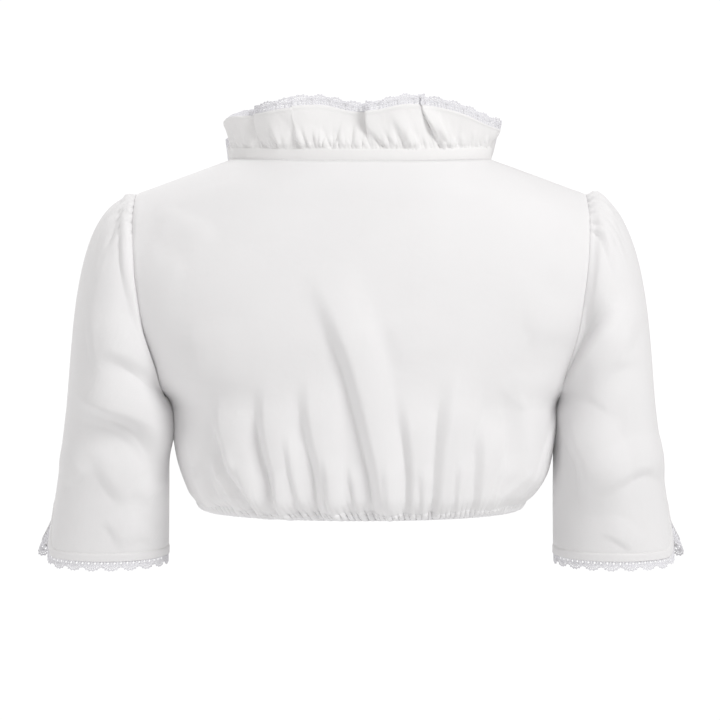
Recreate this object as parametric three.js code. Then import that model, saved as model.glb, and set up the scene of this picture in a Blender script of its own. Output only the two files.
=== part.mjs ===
// A white dirndl blouse, filled out as if worn, in millimetres: the front faces -Y, up is +Z, and the origin
// lies midway between the points where the shoulder seams meet the neckline.
// The body is one front and one back panel on an elastic hem. Each sleeve is cut in one, pleated into the
// armhole at the shoulder, and slit at the outside of its cuff. A narrow band round the neckline carries a
// gathered stand-up ruffle. Cotton lace edges the ruffle, the cuffs and the slits.
import * as THREE from "three";

const clothThickness = 1.2;
const laceThickness = 1;
const seamGap = 0.3;
const armholeGap = 0.5;

// The body
const chestHalfWidth = 164;
const chestDepth = 110;
const hemSeamHeight = -292;
const shoulderHalfWidth = 192;
const neckHalfWidth = 110;
const neckAcross = neckHalfWidth / shoulderHalfWidth;
const backNeckDrop = 5;
const frontNeckDrop = 150;

// The gathers of the hem casing
const casingColumns = 96;
const casingBulge = 1.5;
const casingGatherDepth = 1.1;

// The collar
const bandHeight = 8.5;
const ruffleGathers = 72;
const ruffleGatherDepth = 1.3;
const laceWidth = 9;
const columnsPerScallop = 3;
const scallopNotch = 0.75;

// The cuff and its slit. slitSlant and slitCornerRadius widen the slit downwards, and slitFlare is how far
// the front edge of the slit stands out.
const cuffHalfWidth = 52.5;
const cuffHalfDepth = 46;
const cuffRound = 2 * Math.PI * Math.sqrt((cuffHalfWidth ** 2 + cuffHalfDepth ** 2) / 2);
const slitHeight = 42;
const slitTopHalfGap = 2.5;
const slitTopDrop = 1.5;
const slitSlant = 13;
const slitCornerRadius = 16;
const slitFlare = 11;
const cuffLaceColumns = 84;

// Cross sections of the body, from the back hem over the shoulder to the front hem. A section runs from the
// middle (z, y) to the side seam or armhole (sideX, sideY, sideZ). It is an arc of that many degrees, and
// drop shapes how its height changes on the way.
const bodySections = [
  { name: "back casing edge", z: -306, y: 89.5, sideX: 137, sideY: 0, sideZ: -300, arc: 90, drop: 2 },
  { name: "back hem seam", z: -298, y: 94, sideX: 142, sideY: 0, sideZ: -292, arc: 90, drop: 2 },
  { name: "back blousing", z: -285, y: 101, sideX: 149, sideY: 0, sideZ: -282, arc: 90, drop: 2 },
  { name: "back waist", z: -254, y: 107, sideX: 158.5, sideY: 0, sideZ: -254, arc: 90, drop: 2 },
  { name: "back armpit", z: -212, y: 111, sideX: 164, sideY: 0, sideZ: -212, arc: 90, drop: 2 },
  { name: "back 1", z: -180, y: 112, sideX: 170, sideY: 36, sideZ: -194, arc: 84, drop: 2 },
  { name: "back 2", z: -140, y: 111, sideX: 182, sideY: 59, sideZ: -150, arc: 76, drop: 2 },
  { name: "back 3", z: -95, y: 105, sideX: 189.5, sideY: 65, sideZ: -100, arc: 66, drop: 2 },
  { name: "back 4", z: -50, y: 91, sideX: 192.5, sideY: 52, sideZ: -62, arc: 54, drop: 1.8 },
  { name: "back 5", z: -10, y: 70, sideX: 193, sideY: 28, sideZ: -40, arc: 38, drop: 1.4 },
  { name: "shoulder seam", z: 40.2, y: 4, sideX: 192, sideY: 4, sideZ: -30, arc: 12, drop: 1 },
  { name: "front 5", z: -14, y: -58, sideX: 190, sideY: -20, sideZ: -42, arc: 40, drop: 1.4 },
  { name: "front 4", z: -55, y: -88, sideX: 184, sideY: -42, sideZ: -68, arc: 54, drop: 1.8 },
  { name: "front 3", z: -100, y: -108, sideX: 177, sideY: -54, sideZ: -110, arc: 66, drop: 2 },
  { name: "front 2", z: -145, y: -121, sideX: 172, sideY: -50, sideZ: -155, arc: 76, drop: 2 },
  { name: "front 1", z: -182, y: -128, sideX: 167, sideY: -30, sideZ: -195, arc: 84, drop: 2 },
  { name: "front armpit", z: -212, y: -130, sideX: 164, sideY: 0, sideZ: -212, arc: 90, drop: 2 },
  { name: "front waist", z: -254, y: -124, sideX: 158.5, sideY: 0, sideZ: -254, arc: 90, drop: 2 },
  { name: "front blousing", z: -283, y: -112, sideX: 149, sideY: 0, sideZ: -282, arc: 90, drop: 2 },
  { name: "front hem seam", z: -293, y: -103, sideX: 142, sideY: 0, sideZ: -292, arc: 90, drop: 2 },
  { name: "front casing edge", z: -301, y: -98, sideX: 137, sideY: 0, sideZ: -300, arc: 90, drop: 2 },
];
const sectionOf = (name) => bodySections.findIndex((section) => section.name === name);
const shoulderSection = sectionOf("shoulder seam");

// Folds that rise from the gathered hem. Each is a trough with its foot at footX on the hem and its head at
// (headX, headZ), bowed sideways between them, of that depth and half width.
const backFolds = [
  { footX: 97, headX: 121, headZ: -196, bow: -3, depth: 4.5, half: 9 },
  { footX: 67, headX: 87, headZ: -196, bow: -3, depth: 5, half: 9 },
  { footX: 30, headX: 56, headZ: -178, bow: -4, depth: 5, half: 9 },
  { footX: -11, headX: 48, headZ: -112, bow: -9, depth: 6.5, half: 11 },
  { footX: -48, headX: -41, headZ: -230, bow: 0, depth: 4, half: 8 },
  { footX: -61, headX: -71, headZ: -180, bow: 2, depth: 4.5, half: 7 },
  { footX: -91, headX: -94, headZ: -214, bow: 2, depth: 4, half: 9 },
  { footX: -117, headX: -128, headZ: -236, bow: 2, depth: 3, half: 9 },
];
const frontFolds = [
  { footX: 108, headX: 124, headZ: -210, bow: -3, depth: 4, half: 9 },
  { footX: 76, headX: 90, headZ: -182, bow: -3, depth: 5, half: 9 },
  { footX: 42, headX: 55, headZ: -200, bow: -3, depth: 4.5, half: 8 },
  { footX: 12, headX: 18, headZ: -170, bow: 3, depth: 5.5, half: 10 },
  { footX: -20, headX: -22, headZ: -205, bow: 2, depth: 4.5, half: 8 },
  { footX: -51, headX: -63, headZ: -176, bow: 3, depth: 5, half: 9 },
  { footX: -83, headX: -96, headZ: -206, bow: 3, depth: 4.5, half: 9 },
  { footX: -112, headX: -127, headZ: -226, bow: 2, depth: 3.5, half: 9 },
];

// The ruffle round the neck at even steps, from the middle of the back past the wearer's left shoulder, the
// front and the right shoulder. height is the cloth's, and lean the angle that it falls outwards.
const ruffleStations = [
  { height: 31, lean: 5 },
  { height: 37, lean: 6 },
  { height: 31.5, lean: 8 },
  { height: 17, lean: 12 },
  { height: 15.5, lean: 12 },
  { height: 16, lean: 14 },
  { height: 16.5, lean: 19 },
  { height: 16.5, lean: 26 },
  { height: 16.5, lean: 31 },
  { height: 16.5, lean: 34 },
  { height: 16.5, lean: 35 },
  { height: 16.5, lean: 34 },
  { height: 16.5, lean: 31 },
  { height: 16.5, lean: 26 },
  { height: 16.5, lean: 19 },
  { height: 16, lean: 14 },
  { height: 15.5, lean: 12 },
  { height: 19, lean: 12 },
  { height: 32, lean: 8 },
  { height: 38, lean: 6 },
];
// The ruffle's large waves at its top edge: where round the neck, how wide, and how far outwards.
const ruffleWaves = [
  { turn: 0.032, half: 0.034, out: -6 },
  { turn: 0.088, half: 0.02, out: 6 },
  { turn: 0.113, half: 0.007, out: -4 },
  { turn: 0.15, half: 0.02, out: 3 },
  { turn: 0.2, half: 0.02, out: -3 },
  { turn: 0.25, half: 0.022, out: 4 },
  { turn: 0.3, half: 0.02, out: -5 },
  { turn: 0.345, half: 0.018, out: 5 },
  { turn: 0.39, half: 0.02, out: -5 },
  { turn: 0.435, half: 0.02, out: 5 },
  { turn: 0.48, half: 0.02, out: -4 },
  { turn: 0.525, half: 0.02, out: 5 },
  { turn: 0.57, half: 0.02, out: -5 },
  { turn: 0.615, half: 0.02, out: 5 },
  { turn: 0.66, half: 0.02, out: -5 },
  { turn: 0.705, half: 0.02, out: 5 },
  { turn: 0.755, half: 0.022, out: -5 },
  { turn: 0.81, half: 0.022, out: 2 },
  { turn: 0.885, half: 0.026, out: 4 },
  { turn: 0.923, half: 0.007, out: -5 },
  { turn: 0.965, half: 0.026, out: 6 },
];

// How the sleeve cloth leaves the armhole, at even steps from the armpit round the back, the shoulder and the
// front: the direction and strength in x, y and z.
const capLeaves = [
  { x: 8, y: 0, z: 8 },
  { x: 32, y: 14, z: -28 },
  { x: 74, y: 34, z: -72 },
  { x: 128, y: 38, z: -46 },
  { x: 168, y: 0, z: -12 },
  { x: 128, y: -38, z: -46 },
  { x: 74, y: -34, z: -72 },
  { x: 32, y: -14, z: -28 },
];
// How strongly the cloth is already falling where it passes the armpit's level, under the arm and outside.
const fallUnderArm = 0.15;
const fallOutside = 2.6;

// Rings of the sleeve at the armpit's level, halfway down and at the cuff, tilted as the arm bends forwards.
const sleeveRings = [
  { x: 209.2, y: 5, z: -218, halfWidth: 43.6, halfDepth: 58, tilt: 0 },
  { x: 213.4, y: -2, z: -278, halfWidth: 47.6, halfDepth: 51, tilt: 5 },
  { x: 219.3, y: -13, z: -338.5, halfWidth: cuffHalfWidth, halfDepth: cuffHalfDepth, tilt: 6 },
];
// Pleats at the shoulder: where round the armhole (0.5 is the shoulder tip), how wide, how deep, and how far
// down they run, where 1 is the armpit's level.
const capPleats = [
  { turn: 0.36, half: 0.012, depth: 4.5, reach: 0.8 },
  { turn: 0.41, half: 0.011, depth: 4, reach: 0.5 },
  { turn: 0.455, half: 0.011, depth: 3.5, reach: 0.4 },
  { turn: 0.5, half: 0.011, depth: 3, reach: 0.35 },
  { turn: 0.545, half: 0.011, depth: 3.5, reach: 0.4 },
  { turn: 0.59, half: 0.011, depth: 4, reach: 0.5 },
  { turn: 0.64, half: 0.012, depth: 4.5, reach: 0.7 },
];
// Soft creases across the lower sleeve: their two ends round and down the sleeve, depth and half width.
const sleeveCreases = [
  { turn: 0.08, down: 1.12, endTurn: 0.34, endDown: 0.86, depth: 4, half: 9 },
  { turn: 0.12, down: 1.42, endTurn: 0.4, endDown: 1.3, depth: 3, half: 9 },
  { turn: 0.9, down: 1.1, endTurn: 0.68, endDown: 0.9, depth: 4, half: 9 },
];
const creaseRound = 310;
const creaseDown = 125;

const point = (x, y, z) => new THREE.Vector3(x, y, z);
const radians = THREE.MathUtils.degToRad;
const bell = (distance, half) => Math.exp(-((distance / half) ** 2));
const smooth = (low, high, value) => THREE.MathUtils.smoothstep(value, low, high);
const steps = (count, make) => Array.from({ length: count }, (_, i) => make(i));

// The value at a share of the way from b to c, on a smooth curve through four neighbours.
function curveValue(a, b, c, d, share) {
  const bend = 2 * a - 5 * b + 4 * c - d + (3 * b - a - 3 * c + d) * share;
  return b + 0.5 * share * (c - a + share * bend);
}

// A column of a table at a position counted in rows.
function along(rows, column, position) {
  const last = rows.length - 1;
  const row = Math.min(Math.max(Math.floor(position), 0), last - 1);
  const value = (i) => rows[Math.min(Math.max(i, 0), last)][column];
  return curveValue(value(row - 1), value(row), value(row + 1), value(row + 2), position - row);
}

// The same for a table whose last row is followed by its first, at a position counted in whole turns.
function around(rows, column, turn) {
  const position = turn * rows.length;
  const row = Math.floor(position);
  const value = (i) => rows[((i % rows.length) + rows.length) % rows.length][column];
  return curveValue(value(row - 1), value(row), value(row + 1), value(row + 2), position - row);
}

// The point at a share t of the way between two points, with given directions at both.
function hermite(start, startDirection, end, endDirection, t) {
  return point(0, 0, 0)
    .addScaledVector(start, 2 * t ** 3 - 3 * t ** 2 + 1)
    .addScaledVector(startDirection, t ** 3 - 2 * t ** 2 + t)
    .addScaledVector(end, 3 * t ** 2 - 2 * t ** 3)
    .addScaledVector(endDirection, t ** 3 - t ** 2);
}

// A place on a surface with the direction out of it. The surface is a function of two values, and step is a
// small change of both.
function surfacePlace(surface, u, v, step = 0.004) {
  const across = surface(u + step, v).sub(surface(u - step, v));
  const up = surface(u, v + step).sub(surface(u, v - step));
  return { place: surface(u, v), normal: across.cross(up).normalize() };
}

// A closed wall round a grid of places, each moved half the thickness both ways along its normal. bulge(row,
// column) is added on the outer side. The columns join up when the grid is a ring. Each four-sided cell is
// cut along its shorter diagonal, on both faces alike.
function clothWall(grid, { ring = false, thickness = clothThickness, bulge = () => 0 }) {
  const columnCount = grid[0].length;
  const lastRow = grid.length - 1;
  const face = (side, extra) =>
    grid.flatMap((line, row) =>
      line.flatMap(({ place, normal }, column) => {
        const out = (side * thickness) / 2 + extra(row, column);
        return place.clone().addScaledVector(normal, out).toArray();
      }),
    );
  const positions = [...face(1, bulge), ...face(-1, () => 0)];
  const outer = (row, column) => row * columnCount + (column % columnCount);
  const inner = (row, column) => grid.length * columnCount + outer(row, column);
  const triangles = [];
  const places = grid.flat().map(({ place }) => place);
  const apart = (a, b) => places[a % places.length].distanceTo(places[b % places.length]);
  const quad = (a, b, c, d) => {
    if (apart(a, c) > apart(b, d)) triangles.push(a, b, d, b, c, d);
    else triangles.push(a, b, c, a, c, d);
  };
  const columnSteps = ring ? columnCount : columnCount - 1;
  for (let column = 0; column < columnSteps; column++) {
    const next = column + 1;
    for (let row = 0; row < lastRow; row++) {
      quad(outer(row, column), outer(row, next), outer(row + 1, next), outer(row + 1, column));
      quad(inner(row, column), inner(row + 1, column), inner(row + 1, next), inner(row, next));
    }
    quad(outer(0, column), inner(0, column), inner(0, next), outer(0, next));
    quad(outer(lastRow, column), outer(lastRow, next), inner(lastRow, next), inner(lastRow, column));
  }
  for (let row = 0; row < lastRow && !ring; row++) {
    quad(outer(row, 0), outer(row + 1, 0), inner(row + 1, 0), inner(row, 0));
    const end = columnSteps;
    quad(outer(row, end), inner(row, end), inner(row + 1, end), outer(row + 1, end));
  }
  const geometry = new THREE.BufferGeometry();
  geometry.setAttribute("position", new THREE.Float32BufferAttribute(positions, 3));
  geometry.setIndex(triangles);
  geometry.computeVertexNormals();
  return geometry;
}

// The body before folds: across is -1 to 1 from the wearer's right side to the left, and section a position
// in the table of sections.
function bodySurface(across, section) {
  const size = (column) => along(bodySections, column, section);
  const share = Math.abs(across);
  const arc = radians(size("arc"));
  const atArmhole = section > sectionOf("back armpit") && section < sectionOf("front armpit");
  const sideY = atArmhole ? size("sideY") : 0;
  const inward = (Math.cos(arc * share) - Math.cos(arc)) / (1 - Math.cos(arc));
  return point(
    (Math.sign(across) * size("sideX") * Math.sin(arc * share)) / Math.sin(arc),
    sideY + (size("y") - sideY) * inward,
    size("z") + (size("sideZ") - size("z")) * share ** size("drop"),
  );
}

// How far the folds push the cloth inwards at a place on a panel.
function foldDepth(folds, x, z) {
  let depth = 0;
  for (const fold of folds) {
    const rise = (z - hemSeamHeight) / (fold.headZ - hemSeamHeight);
    const climb = THREE.MathUtils.clamp(rise, 0, 1);
    const middle = THREE.MathUtils.lerp(fold.footX, fold.headX, climb) + fold.bow * Math.sin(Math.PI * climb);
    const fade = (1 - smooth(0.45, 1.1, rise)) * smooth(0, 0.16, rise);
    depth += fold.depth * fade * bell(x - middle, fold.half);
  }
  return depth;
}

// The section at which the neckline crosses a panel: the back's is nearly level, and the front's a round V.
function neckSection(across, isBack) {
  const share = Math.min(Math.abs(across) / neckAcross, 1);
  const level = isBack ? -backNeckDrop * (1 - share ** 2) : -frontNeckDrop * (1 - share ** 2) ** 0.8;
  let low = shoulderSection;
  let high = isBack ? sectionOf("back 4") : sectionOf("front armpit");
  while (share < 1 && Math.abs(high - low) > 1e-5) {
    const middle = (low + high) / 2;
    if (bodySurface(share * neckAcross, middle).z > level) low = middle;
    else high = middle;
  }
  return low;
}

// The cloth of a panel: across as above, and climb 0 at the hem seam, 1 at the armpit's level and 2 at the
// neck or shoulder.
function panelSurface(across, climb, isBack, top) {
  const hem = sectionOf(isBack ? "back hem seam" : "front hem seam");
  const armpit = sectionOf(isBack ? "back armpit" : "front armpit");
  const upper = Math.max(climb - 1, 0);
  const rise = (shoulderSection - armpit) * upper + (top - shoulderSection) * upper ** (isBack ? 4 : 1);
  const section = armpit + rise - (armpit - hem) * Math.max(1 - climb, 0);
  const place = bodySurface(across, section);
  const depth = foldDepth(isBack ? backFolds : frontFolds, place.x, place.z);
  const outward = point(place.x / chestHalfWidth ** 2, place.y / chestDepth ** 2, 0).normalize();
  return place.addScaledVector(outward, -depth);
}

// Shares across a panel from -1 to 1. They lie closer together towards the corners of the neckline.
const neckStops = 12;
const shoulderStops = 7;
function panelStops() {
  const neck = steps(neckStops + 1, (i) => i / neckStops).map(
    (share) => neckAcross * (0.6 * share + 0.4 * Math.sin((share * Math.PI) / 2)),
  );
  const shoulder = steps(shoulderStops, (i) => neckAcross + ((1 - neckAcross) * (i + 1)) / shoulderStops);
  const half = [...neck, ...shoulder];
  const otherHalf = half.slice(1).map((stop) => -stop);
  return [...otherHalf.reverse(), ...half];
}

const sideEdge = 1 - seamGap / chestHalfWidth / 2;

function panel(isBack) {
  const climbs = [0, 0.1, 0.25, 0.42, 0.6, 0.8, 1, 1.16, 1.34, 1.52, 1.7, 1.86, 2];
  const side = isBack ? -1 : 1;
  const grid = climbs.map((climb) =>
    panelStops().map((stop) => {
      const top = neckSection(stop, isBack);
      const cloth = (share, height) => panelSurface(share * side, height, isBack, top);
      const { place, normal } = surfacePlace(cloth, stop * sideEdge, climb);
      if (climb === 0) place.z += seamGap / 2;
      if (climb === 2 && top === shoulderSection) place.y -= (side * seamGap) / 2;
      return { place, normal };
    }),
  );
  return clothWall(grid, {});
}

// The casing round the elastic, below a panel. Its gathers stand out of a plain inside.
function hemCasing(isBack) {
  const edge = sectionOf(isBack ? "back casing edge" : "front casing edge");
  const seam = sectionOf(isBack ? "back hem seam" : "front hem seam");
  const side = isBack ? -1 : 1;
  const grid = [edge, seam].map((section) =>
    steps(casingColumns + 1, (i) => {
      const upwards = (share, rise) => bodySurface(share * side, section + rise * (seam - edge));
      const { place, normal } = surfacePlace(upwards, ((2 * i) / casingColumns - 1) * sideEdge, 0);
      if (section === seam) place.z -= seamGap / 2;
      return { place, normal };
    }),
  );
  return clothWall(grid, { bulge: (row, column) => casingBulge - (column % 2) * casingGatherDepth });
}

// The neckline as a closed loop of points, from the middle of the back past the wearer's left shoulder.
function neckLoop() {
  const half = 300;
  const back = steps(half, (i) => (2 * i) / half - 1).map((share) => ({ share, isBack: true }));
  const front = steps(half, (i) => 1 - (2 * i) / half).map((share) => ({ share, isBack: false }));
  const loop = [...back, ...front].map(({ share, isBack }) => {
    const across = neckAcross * Math.sin((share * Math.PI) / 2);
    return bodySurface(across, neckSection(across, isBack));
  });
  const start = half / 2;
  return [...loop.slice(start), ...loop.slice(0, start + 1)];
}
const neckPath = new THREE.CatmullRomCurve3(neckLoop());
neckPath.arcLengthDivisions = 1200;
const neckline = (turn) => neckPath.getPointAt(THREE.MathUtils.euclideanModulo(turn, 1));

const bandBottom = clothThickness / 2 + seamGap;
const bandTop = bandBottom + bandHeight;

// A point of the collar at a height above the neckline. It leaves the neckline at half its lean, and leans
// more towards its top edge.
function collarPoint(turn, height, out) {
  const step = 0.006;
  const tangent = neckline(turn + step).sub(neckline(turn - step)).normalize();
  const outward = point(-tangent.y, tangent.x, 0).normalize();
  const share = THREE.MathUtils.clamp((height - bandTop) / around(ruffleStations, "height", turn), 0, 1.5);
  const lean = radians(around(ruffleStations, "lean", turn));
  const direction = (angle) => {
    const rise = point(0, 0, Math.cos(angle)).addScaledVector(outward, Math.sin(angle));
    return rise.addScaledVector(tangent, -rise.dot(tangent)).normalize();
  };
  const facing = direction(lean * (0.5 + 0.5 * share)).cross(tangent);
  return neckline(turn)
    .addScaledVector(direction(lean * (0.5 + 0.25 * share)), height)
    .addScaledVector(facing, out);
}

// How far the ruffle's large waves stand out at its top.
function waveOut(turn) {
  return ruffleWaves.reduce((sum, wave) => {
    const away = turn - wave.turn;
    return sum + wave.out * bell(away - Math.round(away), wave.half);
  }, 0);
}

// The ruffle with its large waves: share is 0 at the band and 1 at the cloth's top edge, and lace adds
// millimetres above that.
function ruffleSurface(turn, share, lace = 0) {
  const full = around(ruffleStations, "height", turn);
  const out = waveOut(turn) * Math.max(share, 0) ** 1.2;
  return collarPoint(turn, bandTop + seamGap + share * full + lace, out);
}

const collarColumns = 2 * ruffleGathers;

function neckBand() {
  const band = (turn, height) => collarPoint(turn, height, 0);
  const grid = [bandBottom, bandTop].map((height) =>
    steps(collarColumns, (i) => surfacePlace(band, i / collarColumns, height)),
  );
  return clothWall(grid, { ring: true });
}

function ruffle() {
  const grid = [0, 0.2, 0.5, 1].map((share) =>
    steps(collarColumns, (i) => {
      const { place, normal } = surfacePlace(ruffleSurface, i / collarColumns, share);
      const gather = (i % 2 ? -1 : 1) * ruffleGatherDepth * (1 - smooth(0.1, 1, share));
      return { place: place.addScaledVector(normal, gather), normal };
    }),
  );
  return clothWall(grid, { ring: true });
}

function collarLace() {
  const grid = [0, 1].map((outerEdge) =>
    steps(collarColumns, (i) => {
      const scallop = i % columnsPerScallop === 0 ? scallopNotch : 1;
      const reach = seamGap + outerEdge * laceWidth * scallop;
      const surface = (turn, more) => ruffleSurface(turn, 1, reach + more);
      return surfacePlace(surface, i / collarColumns, 0);
    }),
  );
  return clothWall(grid, { ring: true, thickness: laceThickness });
}

// The armhole as a loop: 0 at the armpit, 0.25 at the back, 0.5 at the shoulder tip, 0.75 at the front.
function armhole(turn) {
  const first = sectionOf("back armpit");
  const last = sectionOf("front armpit");
  return bodySurface(1, first + (last - first) * THREE.MathUtils.euclideanModulo(turn, 1));
}

// A point of one of the sleeve's rings.
function ringPoint(ring, turn) {
  const angle = 2 * Math.PI * turn;
  const back = ring.halfDepth * Math.sin(angle);
  const tilt = radians(ring.tilt);
  const across = ring.halfWidth * Math.cos(angle);
  return point(ring.x - across, ring.y + back * Math.cos(tilt), ring.z - back * Math.sin(tilt));
}

// The sleeve before pleats and creases: down is 0 at the armhole, 1 at the armpit's level, 2 at the cuff.
function sleeveSurface(turn, down) {
  const [top, middle, cuff] = sleeveRings.map((ring) => ringPoint(ring, turn));
  const fall = middle.clone().sub(top);
  const wholeFall = cuff.clone().sub(top).multiplyScalar(0.5);
  if (down >= 1.5) return hermite(middle, wholeFall, cuff, cuff.clone().sub(middle), (down - 1.5) * 2);
  if (down >= 1) return hermite(top, fall, middle, wholeFall, (down - 1) * 2);
  const away = point(...["x", "y", "z"].map((axis) => around(capLeaves, axis, turn)));
  const start = armhole(turn).addScaledVector(away.clone().normalize(), clothThickness / 2 + armholeGap);
  const outside = Math.sin(Math.PI * turn) ** 2;
  fall.multiplyScalar(THREE.MathUtils.lerp(fallUnderArm, fallOutside, outside));
  return hermite(start, away, top, fall, down);
}

// The depth of a crease at a place on the sleeve, fading towards its two ends.
function creaseDepth(crease, turn, down) {
  const run = (crease.endTurn - crease.turn) * creaseRound;
  const fall = (crease.endDown - crease.down) * creaseDown;
  const x = (turn - crease.turn) * creaseRound;
  const y = (down - crease.down) * creaseDown;
  const span = Math.hypot(run, fall);
  const share = (x * run + y * fall) / span ** 2;
  const away = (x * fall - y * run) / span;
  return crease.depth * bell(away, crease.half) * smooth(-0.1, 0.3, share) * (1 - smooth(0.7, 1.1, share));
}

function sleevePoint(turn, down) {
  const { place, normal } = surfacePlace(sleeveSurface, turn, down);
  const pleats = capPleats.reduce((sum, pleat) => {
    const fade = 1 - smooth(0.2, 1, down / pleat.reach);
    return sum + pleat.depth * fade * bell(turn - pleat.turn, pleat.half * (1 + 2 * down));
  }, 0);
  const creases = sleeveCreases.reduce((sum, crease) => sum + creaseDepth(crease, turn, down), 0);
  return place.addScaledVector(normal, -pleats - creases);
}

// How high the cloth's edge lies above the hem line, at a distance round the cuff from the slit's middle.
function slitEdge(distance) {
  const halfGap = (height) => {
    const corner = Math.max(slitCornerRadius - height, 0);
    const rounding = slitCornerRadius - Math.sqrt(slitCornerRadius ** 2 - corner ** 2);
    return slitTopHalfGap + slitSlant * (1 - height / slitHeight) + rounding;
  };
  if (distance <= slitTopHalfGap) return slitHeight - slitTopDrop * (distance / slitTopHalfGap) ** 2;
  let low = 0;
  let high = slitHeight;
  while (distance < halfGap(0) && high - low > 1e-4) {
    const middle = (low + high) / 2;
    if (halfGap(middle) > distance) low = middle;
    else high = middle;
  }
  return low * (1 - slitTopDrop / slitHeight);
}

// A place on the cuff, at a distance round it from the slit (front positive) and a height above the hem line.
function cuffPoint(distance, height) {
  const turn = 0.5 + distance / cuffRound;
  const cuff = ringPoint(sleeveRings[2], turn);
  const fall = cuff.clone().sub(ringPoint(sleeveRings[1], turn));
  const place = sleevePoint(turn, 2 - Math.max(height, 0) / (2 * fall.length()));
  place.addScaledVector(fall.normalize(), Math.max(-height, 0));
  const lift = 1 - smooth(-5, slitHeight, height);
  place.x += slitFlare * lift * smooth(0, 14, distance) * (1 - smooth(14, 60, distance));
  return place;
}

function cuffPlace(distance, height) {
  const { place, normal } = surfacePlace(cuffPoint, distance, height, 0.5);
  return { place, normal: normal.negate() };
}

// Distances round the cuff from the slit, closer together near it.
function cuffStops() {
  const near = [0, 2.4, 4.2, 6.5, 9, 11.5, 14, 17.5, 22, 30];
  const widest = near.at(-1);
  const farCount = 9;
  const far = steps(farCount, (i) => widest + ((cuffRound / 2 - widest) * (i + 1)) / farCount);
  const forwards = [...near, ...far];
  const backwards = forwards.slice(1, -1).map((distance) => -distance);
  return [...backwards.reverse(), ...forwards];
}

function sleeve() {
  const stops = cuffStops();
  const upper = [0, 0.07, 0.17, 0.3, 0.45, 0.62, 0.8, 1, 1.2, 1.4].map((down) =>
    stops.map((distance) => surfacePlace(sleevePoint, 0.5 + distance / cuffRound, down)),
  );
  const lower = [1, 0.5, 0].map((share) =>
    stops.map((distance) => {
      const edge = slitEdge(Math.abs(distance));
      const height = edge + (slitHeight + 4 - edge) * share;
      return cuffPlace(distance, height);
    }),
  );
  return clothWall([...upper, ...lower], { ring: true });
}

// Evenly spaced places along the cuff's edge, with the direction away from the cloth.
function cuffOutline() {
  const path = steps(1200, (i) => {
    const distance = cuffRound * (i / 1200 - 0.5);
    return new THREE.Vector2(distance, slitEdge(Math.abs(distance)));
  });
  const curve = new THREE.SplineCurve([...path, new THREE.Vector2(cuffRound / 2, 0)]);
  curve.arcLengthDivisions = 2400;
  return steps(cuffLaceColumns, (i) => {
    const share = (i + 0.5) / cuffLaceColumns;
    const run = curve.getTangentAt(share);
    return { place: curve.getPointAt(share), away: new THREE.Vector2(run.y, -run.x) };
  });
}

function cuffLace() {
  const outline = cuffOutline();
  const grid = [0, 1].map((outerEdge) =>
    outline.map(({ place, away }, i) => {
      const room = Math.max(Math.abs(place.x) - 0.7, 0.8);
      const wide = THREE.MathUtils.lerp(laceWidth, room, smooth(4, 14, place.y));
      const scallop = i % columnsPerScallop === 0 ? scallopNotch : 1;
      const reach = seamGap + outerEdge * Math.min(laceWidth * scallop, wide);
      return cuffPlace(place.x + away.x * reach, place.y + away.y * reach);
    }),
  );
  return clothWall(grid, { ring: true, thickness: laceThickness });
}

// The same geometry on the wearer's right side.
function mirrored(geometry) {
  const mirror = geometry.clone();
  mirror.applyMatrix4(new THREE.Matrix4().makeScale(-1, 1, 1));
  const index = mirror.index.array;
  for (let i = 0; i < index.length; i += 3) [index[i], index[i + 1]] = [index[i + 1], index[i]];
  mirror.computeVertexNormals();
  return mirror;
}

const cottonColor = 0xf1f0ee;
const laceColor = 0xeceaf0;
const blouse = new THREE.Group();
function add(name, geometry, color, roughness) {
  const mesh = new THREE.Mesh(geometry, new THREE.MeshStandardMaterial({ color, roughness, metalness: 0 }));
  mesh.name = name;
  blouse.add(mesh);
}

const leftSleeve = sleeve();
const leftLace = cuffLace();
add("back", panel(true), cottonColor, 0.75);
add("front", panel(false), cottonColor, 0.75);
add("hem_casing_back", hemCasing(true), cottonColor, 0.75);
add("hem_casing_front", hemCasing(false), cottonColor, 0.75);
add("neck_band", neckBand(), cottonColor, 0.75);
add("collar_ruffle", ruffle(), cottonColor, 0.75);
add("collar_lace", collarLace(), laceColor, 0.85);
add("sleeve_left", leftSleeve, cottonColor, 0.75);
add("sleeve_right", mirrored(leftSleeve), cottonColor, 0.75);
add("cuff_lace_left", leftLace, laceColor, 0.85);
add("cuff_lace_right", mirrored(leftLace), laceColor, 0.85);

export default blouse;
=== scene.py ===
import math

import bpy
import numpy as np
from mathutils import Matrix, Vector


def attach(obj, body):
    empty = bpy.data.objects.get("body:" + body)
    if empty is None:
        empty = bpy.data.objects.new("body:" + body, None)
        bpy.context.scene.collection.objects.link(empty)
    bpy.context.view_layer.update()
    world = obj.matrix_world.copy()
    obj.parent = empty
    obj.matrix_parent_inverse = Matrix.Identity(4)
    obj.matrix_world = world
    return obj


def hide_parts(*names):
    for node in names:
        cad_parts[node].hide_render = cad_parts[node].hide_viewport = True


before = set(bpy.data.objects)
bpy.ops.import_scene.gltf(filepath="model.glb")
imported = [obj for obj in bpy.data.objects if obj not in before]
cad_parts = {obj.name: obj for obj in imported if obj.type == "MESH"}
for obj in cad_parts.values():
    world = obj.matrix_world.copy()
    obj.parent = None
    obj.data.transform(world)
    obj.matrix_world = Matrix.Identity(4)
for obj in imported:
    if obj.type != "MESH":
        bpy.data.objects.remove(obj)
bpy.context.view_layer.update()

# All sizes are in millimetres until a mesh is made. Up is +Z, the front faces -Y, +X is the wearer's left.
METRE = 1000
ARMHOLE_GAP = 0.3
# The cloth shows as a thin shell whose outer face is that of the solid wall.
SHELL_OUT = 0.6
SHELL_IN = -0.1

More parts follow.
